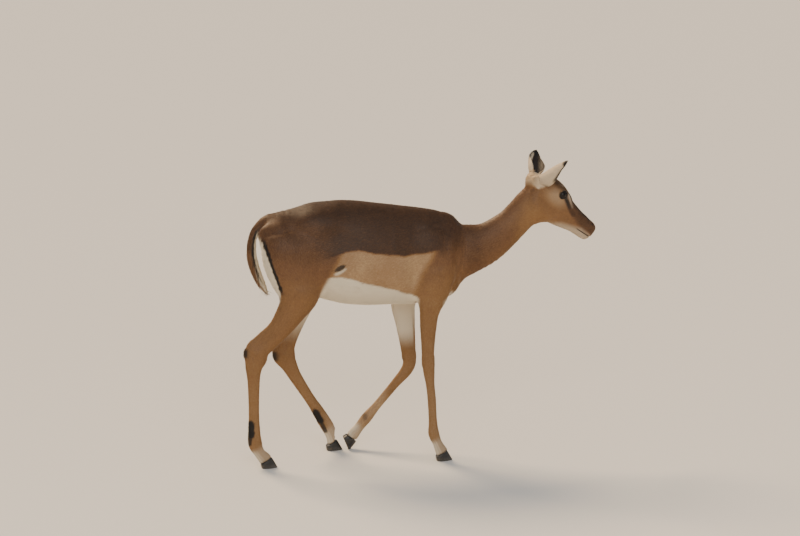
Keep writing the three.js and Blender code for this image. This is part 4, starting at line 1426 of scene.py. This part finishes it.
def hoof_material():
    """Black horn: dull keratin with fine growth rings, scuffed paler towards the ground."""
    material, tree, shader = new_material("black hoof horn")
    place = add(tree, "ShaderNodeTexCoord").outputs["Object"]
    scale = (per_metre(9), per_metre(9), per_metre(2.2))
    grain = add(tree, "ShaderNodeMapping", links={"Vector": place, "Scale": scale})
    rings = noise_of(tree, grain.outputs[0], 1.0, 3.0)
    height = add(tree, "ShaderNodeSeparateXYZ", links={"Vector": place}).outputs[2]
    low = map_range(tree, height, 0.016, 0.0, 0.05, 0.55)
    worn = combine(tree, "MULTIPLY", low, noise_of(tree, place, per_metre(7), 5.0))
    horn = mix_colours(tree, rings, linear("#12110f"), linear("#2b2723"))
    tree.links.new(mix_colours(tree, worn, horn, linear("#8b8378")), shader.inputs["Base Color"])
    relieve(tree, shader, rings, 0.4, 0.0006)
    set_sockets(shader, Roughness=0.42, IOR=1.55)
    return material


def floor_material():
    """Matt painted studio floor."""
    material, _, shader = new_material("matt studio paint")
    set_sockets(shader, Base_Color=linear("#dcd9d3"), Roughness=0.9)
    return material


# ---------------------------------------------------------------- unwrap and lie of the coat

REGIONS = [*LOFTS, *[f"ear_{side}" for side in EARS]]
EAR_HALF_WIDTH = 70            # half the width of an ear's unrolled leaf, with room to spare
SHEET = 1750                   # side of the square on which the unwrapped regions are laid, mm
ISLAND_GAP = 12
ISLAND_START = 20              # room at each end of a region's run
EAR_TURN = 1.2                 # turn at an island's edge; a leaf's own edge is at 1


def region_size(name):
    """An unwrapped region's reach round the body and along it."""
    if name.startswith("ear"):
        return 4 * EAR_HALF_WIDTH, EAR["length"] * 1.3
    loft = LOFTS[name]
    around = 2 * math.pi * loft.sections[:, :3].mean(1).max()
    return around, loft.run[-1] + 2 * ISLAND_START


def lay_islands():
    """Where each region's rectangle starts on the sheet, in rows from the tallest down."""
    places = {}
    x = y = shelf = 0
    for name in sorted(REGIONS, key=lambda r: -region_size(r)[1]):
        width, height = region_size(name)
        if x + width > SHEET:
            x, y, shelf = 0, y + shelf + ISLAND_GAP, 0
        places[name] = (x, y)
        x += width + ISLAND_GAP
        shelf = max(shelf, height)
    return places


ISLANDS = lay_islands()


def region_place(name, p):
    """Where points lie on a region's own unwrap: mm round from its middle line, and mm along."""
    if name.startswith("ear"):
        t, turn, depth = ear_places(name[4:], p)
        inside = depth < 0
        around = np.clip(turn, -1.1, 1.1) * EAR_HALF_WIDTH / EAR_TURN
        return np.where(inside, around - EAR_HALF_WIDTH, around + EAR_HALF_WIDTH), t * EAR["length"]
    loft = LOFTS[name]
    _, lateral, up, run = loft.measure(p)
    return np.arctan2(lateral, up) / (2 * math.pi) * region_size(name)[0], run


def regions_of(p):
    """The region each point belongs to."""
    region = loft_fields(p).argmin(1)
    skin = skin_field(p)
    for i, side in enumerate(EARS):
        t, turn, depth = ear_places(side, p)
        leaf = (skin > 1.2) & (t > 0.1) & (t < 1.1) & (np.abs(depth) < 6) & (np.abs(turn) < 1.3)
        region[leaf] = len(LOFTS) + i
    return region


def sheet_place(region, p):
    """Each point's place on the whole unwrap, from 0 to 1."""
    uv = np.zeros((len(p), 2))
    for i, name in enumerate(REGIONS):
        here = region == i
        if here.any():
            around, along = region_place(name, p[here])
            x, y = ISLANDS[name]
            uv[here] = np.column_stack([x + region_size(name)[0] / 2 + around, y + ISLAND_START + along])
    return uv / SHEET


def unwrap_lay(mesh):
    """A map of the skin in metres round and along each region, unbroken over every face."""
    p = points_of(mesh)
    corner = np.empty(len(mesh.loops), np.int32)
    mesh.loops.foreach_get("vertex_index", corner)
    total = np.empty(len(mesh.polygons), np.int32)
    mesh.polygons.foreach_get("loop_total", total)
    face = np.repeat(np.arange(len(total)), total)
    first = np.concatenate([[0], np.cumsum(total)[:-1]])
    region = regions_of(p)[corner[first]]
    uv = np.zeros((len(corner), 2))
    for i, name in enumerate(REGIONS):
        here = region[face] == i
        if not here.any():
            continue
        around, along = region_place(name, p[corner[here]])
        home, _ = region_place(name, p[corner[first[face[here]]]])
        period = region_size(name)[0]
        off = around - home
        around = home + (off - period * np.round(off / period) if not name.startswith("ear") else off)
        uv[here] = np.column_stack([around, along]) / 1000
    put_map(mesh, "lay", uv)


DOWN = -UP


def lie_of_coat(p, n, region):
    """The way the hair points: back along the body, down the limbs, and up an ear to its tip."""
    total = np.zeros((len(p), 3))
    distances = loft_fields(p)
    nearest = distances.min(1)
    for i, (name, loft) in enumerate(LOFTS.items()):
        weight = np.exp(-(distances[:, i] - nearest) / 12)
        here = (weight > 0.02) & (distances[:, i] < MARGIN)
        if not here.any():
            continue
        way = loft.tangent(p[here])
        if name == "trunk":
            way = -way + 0.45 * DOWN
        elif name == "neck":
            way = -way + 0.25 * DOWN
        elif name == "head":
            way = -way
        total[here] += weight[here, None] * unit(way)
    for i, side in enumerate(EARS):
        here = region == len(LOFTS) + i
        total[here] = ear_frame(side)[1]
    total -= n * (total * n).sum(1)[:, None]
    return unit(total)


# ---------------------------------------------------------------- coat


class Roots:
    """Places on the skin where tufts grow, with all that a tuft needs to know of its place."""

    def __init__(self, p, n, region, lay=None):
        self.p = p
        self.n = n
        self.region = region
        self.lay = lie_of_coat(p, n, region) if lay is None else lay
        self.marks = markings(p, n)
        self.sheet = sheet_place(region, p)

    def pick(self, chosen):
        picked = object.__new__(Roots)
        for name in ("p", "n", "region", "lay", "sheet"):
            setattr(picked, name, getattr(self, name)[chosen])
        picked.marks = self.marks[:, chosen]
        return picked


def hair_plan(p, n, region):
    """Tufts for each square centimetre, and their length and width in mm."""
    along = head_places(p)[0]
    face = ramp(along, -20, 40) * (p[:, 0] > HEAD_START)
    muzzle = ramp(along, 150, 215) * face
    shin = ramp(p[:, 2], 430, 300)
    foot = ramp(p[:, 2], 90, 50)
    count = 11 + 17 * shin + 8 * foot
    length = 9 - 3.4 * shin - 1.0 * foot
    width = 1.7 - 0.55 * shin - 0.1 * foot
    count = over(over(count, 34, face), 46, muzzle)
    length = over(over(length, 3.8, face), 2.4, muzzle)
    width = over(over(width, 0.85, face), 0.65, muzzle)
    tail = region == REGIONS.index("tail")
    length = np.where(tail, 9 + 6 * ramp(-p[:, 0], 330, 350), length)
    ear = region >= len(LOFTS)
    count = np.where(ear, 32, count)
    length = np.where(ear, 4.2, length)
    width = np.where(ear, 0.8, width)
    under = ramp(-n[:, 2], 0.5, 0.9) * ramp(p[:, 2], 480, 520) * (1 - face)
    length = length + 3.5 * under
    return count, length, width


def bare(p):
    """Where no hair grows: in the eyes, the mouth and the nostrils, and inside the hooves."""
    along, above, out = head_places(p)
    none = np.zeros(len(p), bool)
    for s in BOTH:
        close = lengths(p - eye_frame(s)[0]) < EYE_SURROUND
        none |= close & (slit_distance(s, p)[0] < 1.6)
    on_face = along > MUZZLE
    none |= on_face & (np.abs(above - course(MOUTH, along)) < 1.0)
    none |= on_face & (line_distance(np.column_stack([along, above, np.abs(out)]), NOSTRIL) < 3.0)
    for name in LEGS:
        point, down = coronet(name)
        foot = lengths(p - point) < FOOT_REACH
        none |= foot & ((p - point) @ down > -1.0)
    return none


def grow_roots(skin, rng):
    """Scatters roots over the skin, thicker where the hair is finer."""
    mesh = skin.data
    mesh.calc_loop_triangles()
    corners = np.empty(len(mesh.loop_triangles) * 3, np.int32)
    mesh.loop_triangles.foreach_get("vertices", corners)
    corners = corners.reshape(-1, 3)
    p = points_of(mesh)
    n = normals_of(mesh)
    region = regions_of(p)
    a, b, c = (p[corners[:, i]] for i in range(3))
    area = lengths(np.cross(b - a, c - a)) / 200
    count, _, _ = hair_plan(p, n, region)
    wanted = area * count[corners].mean(1)
    number = (wanted + rng.random(len(wanted))).astype(int)
    face = np.repeat(np.arange(len(number)), number)
    u, v = rng.random((2, len(face)))
    flip = u + v > 1
    u[flip], v[flip] = 1 - u[flip], 1 - v[flip]
    shares = np.stack([1 - u - v, u, v], axis=1)[:, :, None]
    at = (p[corners[face]] * shares).sum(1)
    normal = unit((n[corners[face]] * shares).sum(1))
    home = region[corners[face, 0]]
    haired = ~bare(at)
    return Roots(at[haired], normal[haired], home[haired])


# A straight tuft and a bent lock: their faces, where their points lie on their patch of the unwrap,
# from 0 to 1, and how far the normals at those points lean to the side.
TUFT = {
    "faces": np.array([(0, 1, 2), (1, 0, 3), (2, 1, 3), (0, 2, 3)]),
    "spots": np.array([(0, 0), (1, 0), (0.5, 0.6), (0.5, 1)]),
    "lean": np.array([0.3, -0.3, 0, 0]),
}
LOCK = {
    "faces": np.array([
        (0, 1, 2),
        (1, 0, 3), (1, 3, 4), (2, 1, 4), (2, 4, 5), (0, 2, 5), (0, 5, 3),
        (4, 3, 6), (5, 4, 6), (3, 5, 6),
    ]),
    "spots": np.array([(0, 0), (1, 0), (0.5, 0.3), (0.1, 0.5), (0.9, 0.5), (0.5, 0.7), (0.5, 1)]),
    "lean": np.array([0.3, -0.3, 0, 0.25, -0.25, 0, 0]),
}
PATCH = 0.003                  # a patch's side on the unwrap
PIECE_LIMIT = 190_000          # triangles


def put_coat_piece(name, points, faces, normals, roots, shade, form):
    """One piece of coat, with each tuft's marks and its patch of the unwrap."""
    piece = mesh_object(name, points, faces)
    mesh = piece.data
    spots = form["spots"]
    put_marks(mesh, np.repeat(roots.marks, len(spots), axis=1))
    put_number(mesh, "shade", np.repeat(shade, len(spots)))
    uv = roots.sheet[:, None, :] + (spots - 0.5)[None, :, :] * PATCH
    put_map(mesh, "OFBake", uv.reshape(-1, 2)[np.asarray(faces).ravel()])
    mesh.normals_split_custom_set_from_vertices(normals.astype(np.float32))
    mesh.materials.append(HAIR)
    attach(piece, "root")
    return piece


def tufts(name, roots, length, width, lift, rng, bend=0.0, wild=0.16):
    """Closed pointed tufts: four faces each where they lie straight, ten where they bend."""
    n = roots.n
    lay = unit(roots.lay + rng.normal(0, wild, roots.p.shape))
    lay = unit(lay - n * (lay * n).sum(1)[:, None])
    across = np.cross(n, lay)
    length = (length * rng.uniform(0.75, 1.2, len(n)))[:, None]
    half = (width * rng.uniform(0.8, 1.2, len(n)) / 2)[:, None]
    thick = half * 0.7
    lift = (lift * rng.uniform(0.6, 1.4, len(n)))[:, None]
    base = roots.p - n * (0.4 * thick)
    ends = [base + across * half, base - across * half, base + n * thick * 1.6]
    way = lay * np.cos(lift) + n * np.sin(lift)
    if bend:
        middle = base + way * length * 0.5
        later = unit(way - n * np.sin(lift) * 1.6 + DOWN * bend)
        tip = middle + later * length * 0.5
        ends += [middle + across * half * 0.8, middle - across * half * 0.8, middle + n * thick, tip]
    else:
        ends.append(base + way * length)
    form = LOCK if bend else TUFT
    pattern = form["faces"]
    points = np.stack(ends, axis=1)
    normals = unit(n[:, None, :] + across[:, None, :] * form["lean"][None, :, None])
    shade = rng.normal(0, 0.045, len(n))
    most = PIECE_LIMIT // len(pattern)
    order = np.argsort(roots.p[:, 0], kind="stable")
    shares = np.array_split(order, math.ceil(len(order) / most))
    for i, share in enumerate(shares):
        faces = (pattern[None, :, :] + len(ends) * np.arange(len(share))[:, None, None]).reshape(-1, 3)
        put_coat_piece(
            f"{name}_{i + 1}" if len(shares) > 1 else name,
            points[share].reshape(-1, 3), faces, normals[share].reshape(-1, 3),
            roots.pick(share), shade[share], form,
        )


LIE_FLAT = math.radians(8)
COAT_SEED, LASH_SEED = 11, 5


def grow_coat(skin):
    """Short flat tufts all over, and longer locks where the hair is long."""
    rng = np.random.default_rng(COAT_SEED)
    roots = grow_roots(skin, rng)
    _, length, width = hair_plan(roots.p, roots.n, roots.region)
    along = head_places(roots.p)[0]
    ear = roots.region >= len(LOFTS)
    tail = roots.region == REGIONS.index("tail")
    head = ~ear & (along > -20) & (roots.p[:, 0] > HEAD_START)
    neck = ~ear & ~head & (roots.p[:, 0] > NECK_START)
    leg = ~ear & ~head & ~tail & ~neck & (roots.p[:, 2] < LEG_TOP)
    trunk = ~(ear | head | tail | neck | leg)
    groups = {"ears": ear, "head": head, "neck": neck, "legs": leg, "trunk": trunk, "tail": tail}
    for name, here in groups.items():
        tufts(f"coat_{name}", roots.pick(here), length[here], width[here], LIE_FLAT, rng)
    grow_long_hair(roots, rng)


def grow_long_hair(roots, rng):
    """Tail, ear fringes, gland tufts, and the soft edges of belly, brisket and seat."""
    p, n = roots.p, roots.n

    def some(chance):
        return rng.random(len(p)) < chance

    tail = (roots.region == REGIONS.index("tail")) & some(0.9)
    run = LOFTS["tail"].measure(p[tail])[3]
    tufts("locks_tail", roots.pick(tail), 9 + 29 * ramp(run, 40, 200), 1.5, 0.16, rng, bend=0.12, wild=0.1)
    gland = np.zeros(len(p), bool)
    for name, path in GLANDS.items():
        near = line_distance(p[:, [0, 2]], path[:3]) < 15
        gland |= near & (np.sign(p[:, 1]) == LEGS[name]["side"]) & (n[:, 0] < 0.2)
    gland &= some(0.5)
    tufts("locks_glands", roots.pick(gland), np.full(gland.sum(), 9.0), 1.2, 0.28, rng, bend=0.2)
    seat = (p[:, 0] < course(SEAT_STRIPE, p[:, 2]) + 4) & (p[:, 2] > 560) & (p[:, 2] < 800)
    under = (n[:, 2] < -0.75) & (p[:, 2] > 500) & (p[:, 0] < 350)
    brisket = np.hypot(p[:, 0] - BRISKET[0], p[:, 2] - BRISKET[1]) < 36
    soft = ((seat & some(0.35)) | (under & some(0.22)) | (brisket & some(0.5))) & (roots.region < len(LOFTS))
    soft &= ~tail
    size = np.where(seat[soft], 14, 12)
    tufts("locks_edges", roots.pick(soft), size, 1.4, 0.2, rng, bend=0.15)
    fringe = np.zeros(len(p), bool)
    for i, side in enumerate(EARS):
        t, turn, depth = ear_places(side, p)
        here = (roots.region == len(LOFTS) + i) & (depth < 0.4) & (t > 0.15) & (t < 0.9)
        forward = toward_front(side, turn)
        fringe |= here & ((forward > 0.5) | (forward > 0.1) & some(0.2))
    fringe &= some(0.7)
    tufts("locks_ears", roots.pick(fringe), np.full(fringe.sum(), 11.0), 0.7, 0.35, rng, bend=0.05)


def make_lashes():
    """Upper eyelashes: black bristles along the lid's edge, pointing out and down."""
    points, faces, normals, homes = [], [], [], []
    rng = np.random.default_rng(LASH_SEED)
    for s in BOTH:
        middle, look, along, above = eye_frame(s)
        for a in np.linspace(-0.72, 0.72, 34):
            b = (1 - (abs(a) / SLIT["half_length"]) ** 2.2) * SLIT["upper"] + 0.04
            out = math.sqrt(max(1 - a * a - b * b, 0.05))
            root = middle + (along * a + above * b + look * out) * (EYE["radius"] + LID * 0.9)
            away = unit(root - middle)
            way = unit(away * 0.8 + along * a * 0.7 + above * 0.15 + rng.normal(0, 0.08, 3))
            side = unit(np.cross(away, way)) * 0.28
            stout = unit(np.cross(way, side)) * 0.24
            bend = root + way * 3.4
            tip = bend + unit(way + DOWN * 0.5 + along * a * 0.3) * 3.2
            start = 7 * len(homes)
            points += [root + side, root - side, root + stout, bend + side * 0.7, bend - side * 0.7,
                       bend + stout * 0.7, tip]
            faces += [tuple(start + i for i in f) for f in LOCK["faces"]]
            normals += [away] * 7
            homes.append(root)
    homes = np.array(homes)
    region = np.full(len(homes), REGIONS.index("head"))
    roots = Roots(homes, np.tile(HEAD_TOP, (len(homes), 1)), region, lay=np.tile(HEAD_TOP, (len(homes), 1)))
    roots.marks[:] = [[0], [0], [1]]
    piece = put_coat_piece(
        "eyelashes", np.array(points), np.array(faces), np.array(normals), roots,
        np.zeros(len(homes)), LOCK,
    )
    rework(piece.data, face_outwards)


# ---------------------------------------------------------------- eyes and hooves


CORNEA = {"edge": 0.68, "rise": 0.9}   # the cosine of its half angle, and its height in mm


def make_eye(name, s):
    """A globe with a raised cornea, built round the way it looks."""
    middle, look, along, above = eye_frame(s)
    rings, around = 34, 48
    points, places = [], []
    for i in range(rings + 1):
        polar = math.pi * i / rings
        cornea = CORNEA["rise"] * (math.cos(polar) - CORNEA["edge"]) / (1 - CORNEA["edge"])
        radius = EYE["radius"] - CORNEA["rise"] + max(cornea, 0)
        for j in range(around):
            turn = 2 * math.pi * j / around
            a, b = math.sin(polar) * math.cos(turn), math.sin(polar) * math.sin(turn)
            points.append(middle + (look * math.cos(polar) + along * a + above * b) * radius)
            places.append((polar * math.cos(turn), polar * math.sin(turn)))
            if i in (0, rings):
                break
    last = len(points) - 1
    faces = []
    for i in range(1, rings - 1):
        for j in range(around):
            k = (j + 1) % around
            a, b = 1 + (i - 1) * around + j, 1 + (i - 1) * around + k
            faces += [(a, a + around, b + around), (a, b + around, b)]
    for j in range(around):
        k = (j + 1) % around
        faces += [(0, 1 + j, 1 + k), (last, last - around + k, last - around + j)]
    eye = mesh_object(name, np.array(points), faces)
    put_map(eye.data, "iris", np.array(places)[np.array(faces).ravel()])
    rework(eye.data, face_outwards)
    eye.data.materials.append(EYE_WET)
    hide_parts(name.replace("globe", "eye"))
    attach(eye, "root")


# Half a hoof's outline, from the heel round the outside to the toe and back along the inside:
# fractions of its length behind the toe, and of its width.
CLAW = [
    (1, 0.35), (0.95, 0.78), (0.76, 1), (0.5, 0.97), (0.26, 0.74), (0.08, 0.42),
    (0, 0.16), (0.02, 0), (0.35, 0), (0.7, 0), (0.97, 0.06),
]
# Levels up a hoof's wall, as fractions of its height, and the size of its outline there.
CLAW_LEVELS = [
    (0, 0.9), (0.015, 0.97), (0.05, 1), *[(0.1 + 0.08 * i, 1) for i in range(10)], (0.93, 0.98), (1, 0.9),
]


def closed_curve(points, steps=4):
    """A smooth closed outline through points."""
    points = np.array(points, float)
    curve = curve_steps(*(np.roll(points, -k, axis=0) for k in (-1, 0, 1, 2)), steps)
    return np.stack(curve, axis=1).reshape(-1, 2)


def make_claw(leg, s, which):
    """One claw: a wall with growth rings from its sole up to the coronet."""
    tip, ahead, up = foot_frame(leg)
    outline = closed_curve(CLAW)
    centre = np.array([0.5, 0.45])
    points = []
    for i, (t, size) in enumerate(CLAW_LEVELS):
        behind, wide = (centre + (outline - centre) * size).T
        wide = np.maximum(wide, 0)
        growth = 1 + 0.012 * math.sin(i * 2.4) + 0.06 * math.sin(math.pi * t)
        back = (1 - t) * HOOF["length"] * behind
        back += t * (HOOF["front"][0] + (HOOF["back"][0] - HOOF["front"][0]) * behind)
        height = t * (HOOF["front"][1] + (HOOF["back"][1] - HOOF["front"][1]) * behind)
        lateral = s * (HOOF["parting"] / 2 + wide * HOOF["width"] * growth)
        points.append(tip - ahead * back[:, None] + up * height[:, None] + LEFT * lateral[:, None])
    around = len(outline)
    a, b, c, d = ring_corners(len(CLAW_LEVELS) - 1, around)
    j = np.arange(around)
    k = (j + 1) % around
    top = len(CLAW_LEVELS) * around - around
    low, high = np.full(around, top + around), np.full(around, top + around + 1)
    faces = np.vstack([
        np.column_stack(corners) for corners in ([a, b, c], [a, c, d], [k, j, low], [top + j, top + k, high])
    ])
    rings = np.vstack([*points, points[0].mean(0), points[-1].mean(0)])
    rings[:, 2] = np.maximum(rings[:, 2], 0)
    claw = mesh_object(f"claw_{leg}_{which}", rings, faces)
    rework(claw.data, face_outwards)
    claw.data.materials.append(HORN)
    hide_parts(f"hoof_{leg}_{which}")
    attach(claw, "root")


# ---------------------------------------------------------------- studio

CAMERA = {"turn": -8, "rise": 15, "distance": 14.0, "scale": 296}   # degrees, metres, pixels a metre
AIM = np.array([150.0, 0.0, 659.1])                                # what the camera looks at
IMAGE_WIDTH = 800
SENSOR = 36.0


def make_camera():
    turn, rise = math.radians(CAMERA["turn"]), math.radians(CAMERA["rise"])
    away = Vector((
        math.sin(turn) * math.cos(rise), -math.cos(turn) * math.cos(rise), math.sin(rise),
    ))
    data = bpy.data.cameras.new("camera")
    data.sensor_width = SENSOR
    data.lens = CAMERA["scale"] * CAMERA["distance"] * SENSOR / IMAGE_WIDTH
    data.clip_end = 100
    camera = new_object("camera", data)
    camera.location = Vector(AIM / 1000 + SHIFT) + away * CAMERA["distance"]
    camera.rotation_euler = away.to_track_quat("Z", "Y").to_euler()
    bpy.context.scene.camera = camera


def make_lamp(name, kind, place, power, colour, **settings):
    data = bpy.data.lights.new(name, kind)
    data.energy = power
    data.color = linear(colour)[:3]
    for setting, value in settings.items():
        setattr(data, setting, value)
    lamp = new_object(name, data)
    lamp.location = Vector(place)
    aim = Vector((0.0, 0.0, 0.6))
    lamp.rotation_euler = (lamp.location - aim).to_track_quat("Z", "Y").to_euler()


def make_studio():
    size = 60.0
    corners = np.array([(-size, -size, 0), (size, -size, 0), (size, size, 0), (-size, size, 0)])
    floor = mesh_object("floor", corners, [(0, 1, 2, 3)], body_mm=False)
    floor.data.materials.append(floor_material())
    world = bpy.data.worlds.new("soft studio")
    world.use_nodes = True
    background = world.node_tree.nodes["Background"]
    background.inputs["Color"].default_value = linear("#e6e9ee")
    background.inputs["Strength"].default_value = 0.62
    bpy.context.scene.world = world
    make_lamp("low sun", "SUN", (-1.9, 2.5, 4.0), 4.2, "#ffdfb4", angle=math.radians(24))
    make_lamp("soft box", "AREA", (-0.6, -6.0, 4.0), 150, "#fff8ef", shape="DISK", size=5.0)


# ---------------------------------------------------------------- the animal

make_camera()
make_studio()
HAIR = hair_material()
EYE_WET = eye_material()
HORN = hoof_material()

skin = make_skin()
skin.data.materials.clear()
skin.data.materials.append(skin_material())
put_marks(skin.data, markings(points_of(skin.data), normals_of(skin.data)))
unwrap_lay(skin.data)
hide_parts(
    "trunk", "neck", "head", "tail", "ear_right", "ear_left",
    *[f"{leg}_{part}" for leg in LEGS for part in ("upper", "lower")],
)
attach(skin, "root")
grow_coat(skin)
make_lashes()
for eye_side, s in (("right", -1), ("left", 1)):
    make_eye(f"globe_{eye_side}", s)
for leg in LEGS:
    outer = LEGS[leg]["side"]
    make_claw(leg, outer, "outer")
    make_claw(leg, -outer, "inner")
